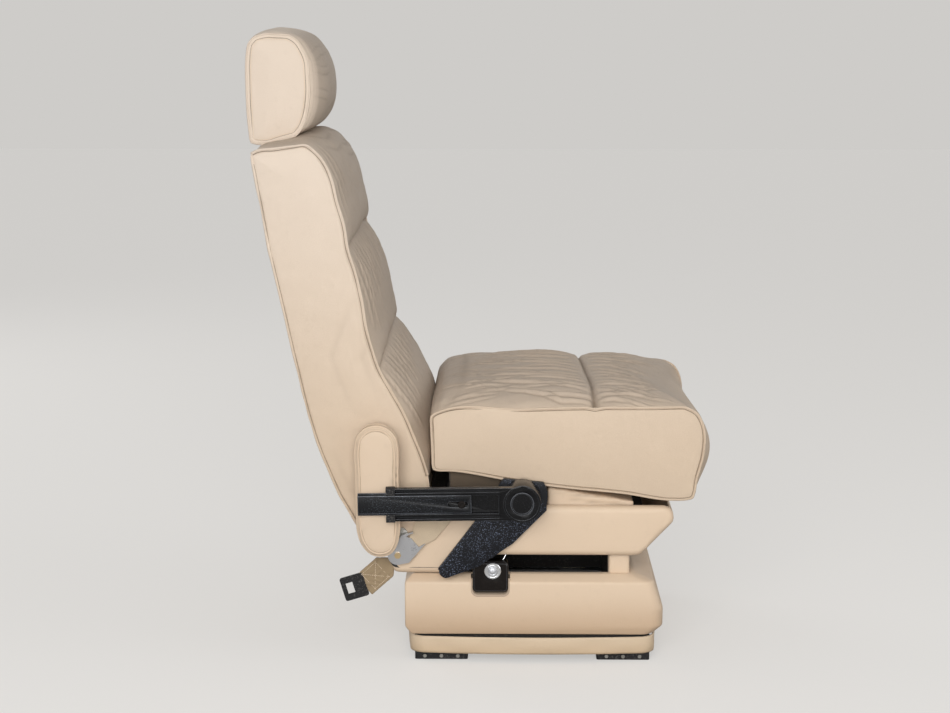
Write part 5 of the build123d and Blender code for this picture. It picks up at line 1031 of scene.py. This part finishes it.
def make_back_pads():
    height = sizes().fold / MM * 0.85
    upper, lumbar = height_run(UPPER_SEAM), height_run(LUMBAR_SEAM)
    end = back_line()[1][-1]
    back_pad("back_panel_upper", "back_pad_upper", upper + 0.5, end - 2, 26, UPPER_ARCH, 0, UPPER_FOLDS,
             ends=(0.62, 0.5), steep=5.0, ebb=(height_run(0.93), end - 30, 12.0))
    back_pad("back_panel_middle", "back_pad_middle", lumbar + 0.5, upper - 0.5, 31, LUMBAR_ARCH, UPPER_ARCH,
             fan(UPPER_SEAM, UPPER_ARCH, 165, 24, 4.0, height, 61), ends=(0.97, 0.36), steep=2.8, lean=0.42)
    foot = height_run(LUMBAR_FOOT)
    back_pad("back_panel_lumbar", "back_pad_lumbar", foot, lumbar - 0.5, 46, 0, LUMBAR_ARCH,
             fan(LUMBAR_SEAM, LUMBAR_ARCH, 130, 24, 4.0, height, 62), ends=(0.5, 0.55))


def make_back_cover():
    size = sizes()
    runs = ((BACK_REAR, 0.8), (BACK_FOOT, 0.0), (BACK_FRONT, -13.0), (BACK_TOP, -8.0))
    side = placed("back_shell", [share for run, _ in runs for share in run])
    push = np.array([out for run, out in runs for _ in run])
    push[0] = 0
    spine, rear = placed("back_shell", BACK_SPINE), placed("back_shell", BACK_REAR)
    half = half_width("back_shell") - 1
    skin = Skin()
    cover(skin, side, offset(side, push), half, spine, BACK_HEM, 4.5, size.mesh_step / MM,
          lambda flat, t: np.full(len(flat), 0.25), (10, 0.5), (10, 0.5), 9.0)
    piece = divide(fill(skin.make("back_cover"), 0.002, size.pressure))

    def form(place, facing):
        rise = 0.8 * ripple(place, 21, 120) + 0.35 * ripple(place, 22, 40)
        more, crease = folds(place[:, [0, 2]], SIDE_FOLDS)
        tuck = 3.5 * np.clip((350 - place[:, 2]) / 90, 0, 1)
        return rise + (more - tuck) * np.abs(facing[:, 1]), crease * 0.3
    shape(piece, form)
    dress(piece, "backrest", "seat_leather", "cover_leather", "back_shell")
    front, behind = back_line()[0][2:-1], smooth(rear, steps(rear, 5, False), False)[3:]
    welts = Skin()
    for end in (-1, 1):
        welts.tube(at_side(front, end * (half + 0.1)), size.welt / MM, crease=0.08)
        seam_beside(welts, front, spine, 3.6, end * (half + 1.0), False)
        seam_beside(welts, behind, spine, 5.0, end * (half + 0.2), False, 0.75)
    dress(welts.make("back_welts"), "backrest", "seat_leather", "cover_leather")


def make_rear_flap():
    low, high = box_of("back_rear_flap")
    rear = placed("back_shell", BACK_REAR)
    heights = np.linspace(high[2] - 0.5, low[2] + 0.5, 30)
    x = np.interp(heights, rear[::-1, 1], rear[::-1, 0])
    flat = np.column_stack([x, heights])
    across = np.linspace(low[1], high[1], 60)
    skin = Skin()
    layers = []
    down = (heights[0] - heights) / (heights[0] - heights[-1])
    for gap in (3.4, 6.6):
        rows = []
        for y in across:
            wave = 1.0 * math.sin(y / 31) * down**2 + 1.0
            rows.append(at_side(offset(flat, -(gap + wave), False), y))
        layers.append(np.array(rows))
        skin.grid(rows)
    inner, outer = layers
    for edge in (np.s_[0], np.s_[-1], np.s_[:, 0], np.s_[:, -1]):
        skin.grid([inner[edge], outer[edge]])
    piece = divide(skin.make("rear_flap"))
    dress(piece, "backrest", "seat_leather", "cover_leather", "back_rear_flap")
    lines = [outer[2:-2, 2], outer[2:-2, -3], outer[2, 2:-2], outer[-3, 2:-2]]
    stitches("rear_flap_stitches", lines, "backrest", "seat_leather")


def cushion_folds(fold):
    """The folds on the cushion's top: two fans beside the cross seam, and small ones all over."""
    lines = [CUSHION_CREASE]
    for at, reach, high in CUSHION_FANS:
        bend, slant = 9 * math.sin(at * 0.7), CUSHION_SLANT * at
        behind = [(94 - slant, at), (94 - reach * 0.5, at * 0.97 + bend), (94 - reach, at * 0.93 - bend)]
        ahead = [(110 - slant, at + 5), (110 + reach * 0.36, at * 1.01 - bend),
                 (110 + reach * 0.66, at * 1.03 + 5)]
        lines += [(behind, 4.6, fold * 0.85 * high), (ahead, 4.6, fold * 0.80 * high)]
    random = np.random.default_rng(71)
    for at in np.linspace(-236, 236, 30):
        runs = [(random.uniform(first, last), random.uniform(short, long))
                for first, last, short, long in ((-185, -80, 60, 120), (120, 175, 40, 90))]
        for start, reach in runs:
            slant = random.choice((-0.42, -0.3, 0.3, 0.42)) * reach
            middle = (start + reach * 0.5, at + slant * 0.5 + random.uniform(-5, 5))
            lines.append(([(start, at), middle, (start + reach, at + slant)], random.uniform(3.0, 4.6),
                          fold * random.uniform(0.28, 0.52)))
    return lines


def make_seat_cushion():
    size = sizes()
    side, crown = placed("seat_cushion", CUSHION_SIDE), placed("seat_cushion", CUSHION_CROWN)
    spine = placed("seat_cushion", CUSHION_SPINE)
    half = half_width("seat_cushion") - 1
    top = side[:, 1].max()

    # The seat's top is painted darker: partly wear where people sit, partly painted shade of faces turned
    # from the key lamp.
    def wear_and_shade(flat, t):
        return np.clip((flat[:, 1] - (top - 75)) / 70, 0, 1) * (1 - 0.5 * abs(t) ** 12)
    skin = Skin()
    side_line = cover(skin, side, crown, half, spine, CUSHION_HEM, 5.0, 4.4, wear_and_shade, (2.0, 1.15), (6.0, 0.78))
    piece = divide(fill(skin.make("seat_cover"), size.swell, size.pressure))
    seam, lines = size.seam / MM, cushion_folds(size.fold / MM)

    def form(place, facing):
        x, y = place[:, 0], place[:, 1]
        up = np.clip(facing[:, 2] * 2.6, 0, 1) * (place[:, 2] > top - 40) * (np.abs(y) < half - 0.5)
        gap = x - (CUSHION_SEAM - CUSHION_SLANT * y)
        near = np.exp(-((np.abs(y) - half + 4) / 20) ** 2)
        rise = -seam * np.exp(-(gap / 4.5) ** 2) - 0.75 * seam * np.exp(-(np.abs(gap) / 26) ** 1.4)
        rise -= 5.0 * near * np.exp(-(gap / 11) ** 2)
        rise += 0.8 * np.sin(y / 5.6 + 1.8 * np.sin(y / 17)) * np.exp(-((np.abs(gap) - 9) / 9) ** 2)
        more, crease = folds(place[:, :2], lines)
        rise += more + 0.9 * ripple(place, 31, 110) + 0.4 * ripple(place, 32, 30)
        # The cross seam's groove and its ends by the welts are painted darker: painted shade.
        dark = np.exp(-(gap / 2.6) ** 2) * 0.75 + near * np.exp(-(gap / 7) ** 2) * 0.3
        flank = np.abs(facing[:, 1]) > 0.7
        return rise * up + 0.9 * ripple(place, 33, 130) * flank, np.maximum(crease, dark) * up
    shape(piece, form)
    dress(piece, "carriage", "seat_leather", "cover_leather", "seat_cushion")
    welts = Skin()
    for end in (-1, 1):
        path = at_side(side_line, end * (half + 0.1))
        gap = path[:, 0] - (CUSHION_SEAM - CUSHION_SLANT * end * half)
        on_top = path[:, 2] > side_line[:, 1].mean()
        path[:, 2] -= np.where(on_top, 3.0 * np.exp(-(gap / 11) ** 2), 0)
        welts.tube(path, size.welt / MM, closed=True, crease=0.08)
        seam_beside(welts, path[:, [0, 2]], spine, 3.6, end * (half + 1.7))
    dress(welts.make("seat_welts"), "carriage", "seat_leather", "cover_leather")


def make_pan_covers():
    def form(place, facing):
        rise = 0.8 * ripple(place, 41, 60) + 0.4 * ripple(place, 42, 22)
        more, crease = folds(place[:, [0, 2]], WEDGE_FOLDS)
        return rise + more * np.abs(facing[:, 1]), crease * np.abs(facing[:, 1])
    for name, node, slot, material in (
        ("pan_wedge_front", "pan_cover_front", "seat_leather", "panel_leather"),
        ("pan_lining_rear", "pan_cover_rear", "tan_cloth", "lining"),
    ):
        piece = shape(from_node(name, node, step=0.004, softness=6), form)
        dress(piece, "carriage", slot, material, node)


def hollow(piece, gone, wall):
    """Takes away the faces that gone picks by centre and direction, and gives the rest a wall."""
    work = bmesh.new()
    work.from_mesh(piece.data)
    away = [face for face in work.faces if gone(face.calc_center_bounds() / MM, face.normal)]
    bmesh.ops.delete(work, geom=away, context="FACES")
    work.to_mesh(piece.data)
    work.free()
    skin = piece.modifiers.new("Wall", "SOLIDIFY")
    skin.thickness, skin.offset = wall * MM, -1
    return piece


def make_pan_shroud():
    outline = np.array(PAN_OUTLINE, float)
    outline, _ = cornered(outline, outline, 12.0, 20.0)
    ring = smooth(outline, steps(outline, 5.0))
    half = half_width("pan_shroud_front")
    spine = np.array(PAN_SPINE)
    skin = Skin()
    skin.grid([at_side(ring, y) for y in np.linspace(12 - half, half - 12, 60)], around=True)
    turn = [(12 * (1 - math.cos(a)), 12 * math.sin(a) - 12) for a in np.linspace(0, math.pi / 2, 7)]
    for end in (-1, 1):
        cap(skin, ring, spine, turn, 0.6, 12.0, end * half, end)
    piece = skin.make("pan_shroud_leather")

    def gone(centre, facing):
        return abs(centre[1]) < half - 13 and (abs(facing.z) > 0.8 or centre[0] < -240)
    settle(hollow(piece, gone, 2.0))
    mark_angles(piece)
    dress(piece, "carriage", "base_leather", "panel_leather", "pan_shroud_right", "pan_shroud_left",
          "pan_shroud_front")


def make_base_shroud():
    work = bmesh.new()
    rings, corner = [], BASE_CORNER
    for z, rear, front, wide in BASE_LEVELS:
        plan = [(rear, -wide)]
        plan += [(front - corner + corner * math.sin(t), -wide + corner - corner * math.cos(t))
                 for t in np.linspace(0, math.pi / 2, 9)]
        plan += [(x, -y) for x, y in plan[::-1]]
        rings.append([work.verts.new(Vector((x, y, z)) * MM) for x, y in plan])
    for low, high in zip(rings, rings[1:]):
        for i in range(len(low)):
            work.faces.new((low[i], low[(i + 1) % len(low)], high[(i + 1) % len(low)], high[i]))
    work.faces.new(rings[0][::-1])
    work.faces.new(rings[-1])
    bmesh.ops.recalc_face_normals(work, faces=work.faces)
    sharp = [edge for edge in work.edges if edge.calc_face_angle(0) > math.radians(12)]
    bmesh.ops.bevel(work, geom=sharp, offset=6.5 * MM, segments=4, profile=0.5, affect="EDGES",
                    clamp_overlap=True)
    top = [face for face in work.faces if face.normal.z > 0.99 and face.calc_area() > 0.05]
    bmesh.ops.inset_region(work, faces=top, thickness=0.006)
    mesh = bpy.data.meshes.new("base_shroud_leather")
    work.to_mesh(mesh)
    work.free()
    for key in ("worn", "crease"):
        mesh.attributes.new(key, "FLOAT", "POINT")
    piece = stand(mesh.name, mesh)

    def gone(centre, facing):
        return facing.z < -0.95 or (facing.z > 0.99 and abs(centre[0]) < 60 and abs(centre[1]) < 60)
    hollow(piece, gone, 4.0)
    cut_notch(piece)
    mark_angles(piece)
    dress(piece, "carriage", "base_leather", "panel_leather", "base_shroud_right", "base_shroud_left",
          "base_shroud_front", "base_shroud_rear")
    make_notch_lip()


def notch():
    """The middle, half width and foot of the notch that holds the control housing."""
    low, high = box_of("control_housing")
    return (low[0] + high[0]) / 2, (high[0] - low[0]) / 2 + 2.5, low[2] - 8.5


def cut_notch(piece):
    """Cuts the notch, with round corners, out of the lower shroud's right side."""
    middle, wide, foot = notch()
    cutter = bmesh.new()
    bmesh.ops.create_cube(cutter, size=1.0)
    bmesh.ops.scale(cutter, vec=Vector((2 * wide, 60, 100)) * MM, verts=cutter.verts)
    bmesh.ops.translate(cutter, vec=Vector((middle, -255, foot + 50)) * MM, verts=cutter.verts)
    upright = [edge for edge in cutter.edges if abs((edge.verts[0].co - edge.verts[1].co).y) > 0.01]
    bmesh.ops.bevel(cutter, geom=upright, offset=NOTCH_CORNER * MM, segments=6, profile=0.5, affect="EDGES")
    mesh = bpy.data.meshes.new("notch")
    cutter.to_mesh(mesh)
    cutter.free()
    tool = stand("notch", mesh)
    cut = piece.modifiers.new("Notch", "BOOLEAN")
    cut.operation, cut.solver, cut.object = "DIFFERENCE", "EXACT", tool
    settle(piece)
    bpy.data.objects.remove(tool)


def make_notch_lip():
    """The leather that turns in round the notch."""
    (middle, wide, foot), corner = notch(), NOTCH_CORNER
    arc = [(middle - wide + corner * (1 + math.cos(a)), foot + corner * (1 + math.sin(a)))
           for a in np.linspace(math.pi, 1.5 * math.pi, 9)]
    lip = [(middle - wide, 158.0)] + arc
    lip = np.array(lip + [(2 * middle - x, z) for x, z in lip[::-1]])
    skin = Skin()
    # The lip is painted darker: painted shade in the notch, with some wear.
    skin.grid([at_side(offset(lip, gap, False), y) for gap, y in NOTCH_LIP], worn=0.4, crease=0.35)
    dress(skin.make("notch_lip"), "carriage", "base_leather", "panel_leather")


def mark_angles(piece):
    """Smooth faces, with the flat ones kept flat."""
    mesh = piece.data
    mesh.polygons.foreach_set("use_smooth", [True] * len(mesh.polygons))
    work = bmesh.new()
    work.from_mesh(mesh)
    for edge in work.edges:
        edge.smooth = edge.calc_face_angle(0) < math.radians(40)
    work.to_mesh(mesh)
    work.free()


def make_shrouds():
    make_pan_shroud()
    make_base_shroud()
    piece = from_node("post_cover_leather", "post_covers", width=0.0022)
    mark_angles(piece)
    dress(piece, "carriage", "base_leather", "panel_leather", "post_covers")


def make_skirt():
    low, high = box_of("plinth_skirt")
    half = (high - low) / 2
    centre = (high + low) / 2
    corner = 30.0
    loop = []
    for k, (sx, sy) in enumerate(((1, -1), (1, 1), (-1, 1), (-1, -1))):
        for a in np.linspace(0, math.pi / 2, 9) + (k - 1) * math.pi / 2:
            loop.append((centre[0] + sx * (half[0] - corner) + corner * math.cos(a),
                         centre[1] + sy * (half[1] - corner) + corner * math.sin(a)))
    loop = np.array(loop)
    loop = smooth(loop, steps(loop, 6.0))
    run = np.concatenate([[0], np.cumsum(np.linalg.norm(np.diff(loop, axis=0), axis=1))])
    out = offset(loop, 1.0) - loop
    rows = []
    share = np.linspace(0, 1, 9)
    for gap, shares in ((0.2, share), (-2.6, share[::-1])):
        for s in shares:
            wave = (1.1 * np.sin(run / 21 + 1.3 * np.sin(run / 57)) + 0.6) * math.sin(math.pi * s)
            height = low[2] + 0.5 + s * (high[2] - low[2] - 1)
            rows.append(np.column_stack([loop + out * (gap + wave)[:, None], np.full(len(loop), height)]))
    skin = Skin()
    skin.grid(rows + rows[:1], around=True)
    piece = skin.make("plinth_kick_strip")
    dress(piece, "floor_base", "skirt_leather", "skirt_leather", "plinth_skirt")


def arm_point(x, y):
    """A point of the arm's own plane, from the hub, in the seat's frame."""
    cos, sin = math.cos(ARM_TILT), math.sin(ARM_TILT)
    return (ARM_HUB[0] + x * cos - y * sin, ARM_HUB[1] + x * sin + y * cos)


def make_armrest_pads():
    size = sizes()
    high, radius = PAD_TOP
    arc = [(PAD_MIDDLE + radius * math.cos(a), high + radius * math.sin(a))
           for a in np.linspace(0, math.pi, 9)]
    outline = np.array([arm_point(*p) for p in arc + PAD_OUTLINE])
    ring = smooth(outline, steps(outline, 4.0))
    spine = np.array([arm_point(PAD_MIDDLE, 98), arm_point(PAD_MIDDLE, -50)])
    rub_x, rub_z = arm_point(-220, 40)

    def form(place, facing):
        rub = np.exp(-(((place[:, 0] - rub_x) / 8) ** 2 + ((place[:, 2] - rub_z) / 22) ** 2))
        return 0.35 * ripple(place, 51, 40), rub * 0.8 * np.clip(0.6 + ripple(place, 52, 14), 0, 1)
    for end, side in ((-1, "right"), (1, "left")):
        node, body = "armrest_pad_" + side, "arm_slide_" + side
        low, high = box_of(node)
        inner, outer = sorted((abs(low[1]), abs(high[1])))
        middle, half = (inner + outer) / 2, (outer - inner) / 2
        skin = Skin()
        skin.grid([at_side(ring, end * middle + y) for y in np.linspace(10 - half, half - 10, 7)],
                  around=True, worn=0.2, hold=1)
        for way, hem, bulge in ((end, PAD_HEM_OUTER, 1.6), (-end, PAD_HEM_INNER, 0.2)):
            cap(skin, ring, spine, hem, bulge, 5.0, end * middle + way * half, way, worn=0.2)
        piece = shape(divide(fill(skin.make(f"armrest_cover_{side}"), 0.0015, size.pressure)), form)
        dress(piece, body, "seat_leather", "panel_leather", node)
        welts, welt = Skin(), size.pad_welt / MM
        # The third, thin cord is painted dark: the shade line inside the piping.
        for out in (half - 1.2, 1.2 - half):
            for inward, share, thick, sides, dark in ((6.5, 1.0, welt, 8, 0.10), (1.0, 0.62, welt, 8, 0.10),
                                                      (9.0, 1.06, 0.7, 6, 0.7)):
                path = at_side(inside(ring, spine, inward), end * (middle + out * share))
                welts.tube(path, thick, sides, closed=True, crease=dark)
        dress(welts.make(f"armrest_welts_{side}"), body, "seat_leather", "panel_leather")


def make_belts():
    for side in ("right", "left"):
        piece = from_node(f"belt_strap_{side}", f"belt_webbing_{side}", width=0.0004)
        dress(piece, f"hook_{side}", "webbing", "webbing", f"belt_webbing_{side}")
    piece = from_node("belt_stub_cover", "belt_stub", step=0.0014, softness=2)
    random = np.random.default_rng(81)
    wrinkles = []
    for _ in range(9):
        x, z, turn = random.uniform(-300, -255), random.uniform(140, 190), random.uniform(0, math.pi)
        dx, dz = 16 * math.cos(turn), 16 * math.sin(turn)
        wrinkles.append(([(x - dx, z - dz), (x, z + random.uniform(-3, 3)), (x + dx, z + dz)], 2.6, 1.0))

    def form(place, facing):
        rise, crease = folds(place[:, [0, 2]], wrinkles)
        flat = np.abs(facing[:, 1])
        return (rise + 0.7 * ripple(place, 82, 22)) * flat, crease * flat
    shape(piece, form)
    dress(piece, "carriage", "webbing", "stub_webbing", "belt_stub")
    way = np.array([-math.cos(math.radians(42)), -math.sin(math.radians(42))])
    over = np.array([-way[1], way[0]])
    start = np.array([-250.0, 190.0])

    def spot(along, across):
        flat = start + way * along + over * across
        return (flat[0], -240.7, flat[1])

    def run(*corners):
        return np.concatenate([np.linspace(a, b, 12) for a, b in zip(corners, corners[1:])])
    a, b, c, d = spot(28, -18), spot(62, -18), spot(62, 18), spot(28, 18)
    stitches("stub_stitches", [run(a, b, c, d, a), run(a, c), run(d, b)], "carriage", "webbing", 0.8)


NODES_BY_FINISH = {
    "black_cast": "floor_fittings recline_lock_body belt_tongue channel_collar_right channel_collar_left",
    "zinc": "foot_screws armrest_hub_pins recline_pins",
    "frame_paint": "plinth_frame carriage_frame pan_frame pan_diaphragm back_frame",
    "aluminium": "track_rails",
    "nylon": "glide_blocks headrest_guides headrest_core",
    "black_gloss": "control_housing lock_knob_right lock_knob_left",
    "chrome": "button_bezel release_rod release_button recline_lock_rod headrest_posts",
    "bracket_paint": "armrest_bracket_right armrest_bracket_left",
    "brass": "belt_anchor_bolts",
    "arm_paint": "armrest_channel_right armrest_channel_left hub_cap_right hub_cap_left",
    "bar_paint": "slide_bar_right slide_bar_left",
    "hook_steel": "belt_hook_right belt_hook_left",
}


def rub_and_highlight_edges(piece):
    """Marks the faces along a piece's rounded edges as worn."""
    count = len(piece.data.polygons)
    kind = np.zeros(count, np.int32)
    piece.data.polygons.foreach_get("material_index", kind)
    piece.data.attributes.remove(piece.data.attributes["worn"])
    worn = piece.data.attributes.new("worn", "FLOAT", "FACE")
    worn.data.foreach_set("value", (kind == 1).astype(np.float32))


ARM_COPIES = [("bracket_plate", "armrest_bracket", "carriage", "black_bracket", "bracket_paint", 0.0012),
              ("channel_cover", "armrest_channel", "arm_", "arm_paint", "arm_paint", 0.0007),
              ("hub_cover", "hub_cap", "arm_", "arm_paint", "arm_paint", 0.0009),
              ("slide_face", "slide_bar", "arm_slide_", "arm_paint", "bar_paint", 0.0005)]


def make_arm_metal():
    """Rounded copies of the armrests' and the release's metal parts, so that their edges catch the light."""
    for side in ("right", "left"):
        for name, node, body, slot, material, width in ARM_COPIES:
            cut = BRACKET_CUT if name == "bracket_plate" else None
            piece = from_node(f"{name}_{side}", f"{node}_{side}", width=width, cut=cut)
            mark_angles(piece)
            rub_and_highlight_edges(piece)
            dress(piece, body + side if body.endswith("_") else body, slot, material, f"{node}_{side}")
    low, high = box_of("release_button")
    centre = (low + high) / 2
    skin = Skin()
    turn = np.linspace(0, 2 * math.pi, 49)[:-1]
    skin.grid([np.column_stack([centre[0] + out * np.cos(turn), np.full(len(turn), low[1] + back),
                                centre[2] + out * np.sin(turn)]) for out, back in BUTTON_RINGS], around=True)
    dress(skin.make("button_face"), "button", "chrome", "satin_chrome", "release_button")
    piece = from_node("release_housing", "control_housing", width=0.0032)
    mark_angles(piece)
    rub_and_highlight_edges(piece)
    dress(piece, "carriage", "black_gloss", "black_gloss", "control_housing")


def paint_nodes():
    for material, nodes in NODES_BY_FINISH.items():
        for node in nodes.split():
            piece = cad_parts[node]
            if not piece.material_slots:
                raise RuntimeError(f"{node} has no material slot")
            for slot in piece.material_slots:
                slot.material = finish(material)


def make_stage():
    scene = bpy.context.scene
    stage = scene.seat_stage
    scene.view_settings.view_transform = "Standard"
    eye = bpy.data.cameras.new("camera")
    eye.lens, eye.sensor_width, eye.clip_end = stage.lens, 36.0, 60.0
    camera = stand("camera", eye)
    camera.location = stage.eye
    camera.rotation_euler = (math.pi / 2 - stage.down, 0.0, stage.turn)
    scene.camera = camera

    target = Vector((-0.1, 0, 0.5))
    for name, power, wide, place in (
        ("key", stage.key, 2.6, (-0.5, -4.0, 1.5)),
        ("front", stage.weak, 2.0, (3.2, -1.2, 1.6)),
        ("rear", stage.weak, 2.0, (-3.2, 2.6, 2.0)),
    ):
        lamp = bpy.data.lights.new(name, "AREA")
        lamp.energy, lamp.size = power, wide
        holder = stand(name, lamp)
        holder.location = place
        holder.rotation_euler = (target - Vector(place)).to_track_quat("-Z", "Y").to_euler()
    make_world(stage)
    make_floor(stage)


def make_world(stage):
    """Even light from all round. The camera and mirrors see the floor's colour instead."""
    world = bpy.data.worlds.new("studio")
    bpy.context.scene.world = world
    world.use_nodes = True
    tree = world.node_tree
    tree.nodes.clear()
    path, light = tree.nodes.new("ShaderNodeLightPath"), tree.nodes.new("ShaderNodeBackground")
    shown, blend = tree.nodes.new("ShaderNodeBackground"), tree.nodes.new("ShaderNodeMixShader")
    end, seen = tree.nodes.new("ShaderNodeOutputWorld"), tree.nodes.new("ShaderNodeMath")
    seen.operation = "MAXIMUM"
    for node, tint, strength in ((light, (1, 1, 1), stage.sky), (shown, stage.floor, 1.0)):
        node.inputs["Color"].default_value = (*tint, 1)
        node.inputs["Strength"].default_value = strength
    for start, stop in ((path.outputs["Is Camera Ray"], seen.inputs[0]),
                        (path.outputs["Is Glossy Ray"], seen.inputs[1]),
                        (seen.outputs[0], blend.inputs[0]), (light.outputs[0], blend.inputs[1]),
                        (shown.outputs[0], blend.inputs[2]), (blend.outputs[0], end.inputs[0])):
        tree.links.new(start, stop)


def make_floor(stage):
    """A wide plain floor. It glows a little for the camera, but less toward the key lamp."""
    mesh = bpy.data.meshes.new("floor")
    wide, low = 14.0, -0.0004
    mesh.from_pydata([(-wide, -wide, low), (wide, -wide, low), (wide, wide, low), (-wide, wide, low)], [],
                     [(0, 1, 2, 3)])
    floor = stand("floor", mesh)
    made = Finish("floor")
    near = (made.node("ShaderNodeSeparateXYZ", None, {0: made.place}, out="Y") * -1).over(0.8, 2.4)
    seen = made.node("ShaderNodeLightPath", out="Is Camera Ray") * (1 - near * 0.95) * 0.745
    glow = made.mix(seen, (0.0, 0.0, 0.0), stage.floor[:])
    mesh.materials.append(made.done(Base_Color=scaled(stage.floor, 0.6), Roughness=0.9,
                                    Specular_IOR_Level=0.1, Emission_Color=glow, Emission_Strength=1.0))


# Add-on

def step(idname, label, text, work):
    """An operator that makes one piece or group of pieces."""
    def execute(self, context):
        work()
        return {"FINISHED"}
    return type("SEAT_OT_" + idname, (bpy.types.Operator,),
                {"bl_idname": "seat." + idname, "bl_label": label, "__doc__": text, "execute": execute})


STEPS = [
    step("stage", "Stage", "Makes the camera, the lights, the floor and the background", make_stage),
    step("metal", "Metal and Plastic", "Gives the metal and plastic parts their finishes", paint_nodes),
    step("arm_metal", "Armrest Metal", "Makes the rounded metal parts of the armrests", make_arm_metal),
    step("headrest", "Headrest", "Makes the headrest's cover, welts and stitches", make_headrest),
    step("back_cover", "Back Cover", "Makes the leather over the back's sides and rear", make_back_cover),
    step("back_pads", "Back Panels", "Makes the three padded panels that the back leans on", make_back_pads),
    step("rear_flap", "Rear Flap", "Makes the flap low on the rear of the back", make_rear_flap),
    step("seat_cushion", "Seat Cushion", "Makes the cushion, its cross seam and welts", make_seat_cushion),
    step("pan_covers", "Pan Covers", "Makes the wedge and the lining under the cushion", make_pan_covers),
    step("shrouds", "Shrouds", "Makes the leather over the panels round the seat pan and base", make_shrouds),
    step("skirt", "Kick Strip", "Makes the strip round the plinth", make_skirt),
    step("armrest_pads", "Armrest Pads", "Makes the piped leather pads of the armrests", make_armrest_pads),
    step("belts", "Belt Webbing", "Makes the webbing of the belts", make_belts),
]


class SEAT_PT_trim(bpy.types.Panel):
    """Sizes, colours and steps of the seat's trim"""
    bl_label = "Airliner Seat"
    bl_space_type = "VIEW_3D"
    bl_region_type = "UI"
    bl_category = "Seat"

    def draw(self, context):
        column = self.layout.column()
        for group in (context.scene.seat_sizes, context.scene.seat_colours, context.scene.seat_stage):
            for name in group.__annotations__:
                column.prop(group, name)
            column.separator()
        for made in STEPS:
            column.operator(made.bl_idname)


CLASSES = [SeatSizes, SeatColours, SeatStage, *STEPS, SEAT_PT_trim]


def register():
    for made in CLASSES:
        bpy.utils.register_class(made)
    bpy.types.Scene.seat_sizes = bpy.props.PointerProperty(type=SeatSizes)
    bpy.types.Scene.seat_colours = bpy.props.PointerProperty(type=SeatColours)
    bpy.types.Scene.seat_stage = bpy.props.PointerProperty(type=SeatStage)


def unregister():
    del bpy.types.Scene.seat_sizes, bpy.types.Scene.seat_colours, bpy.types.Scene.seat_stage
    for made in reversed(CLASSES):
        bpy.utils.unregister_class(made)


def main():
    register()
    for made in STEPS:
        getattr(bpy.ops.seat, made.bl_idname.split(".")[1])()
    bpy.context.view_layer.update()


if __name__ == "__main__":
    main()
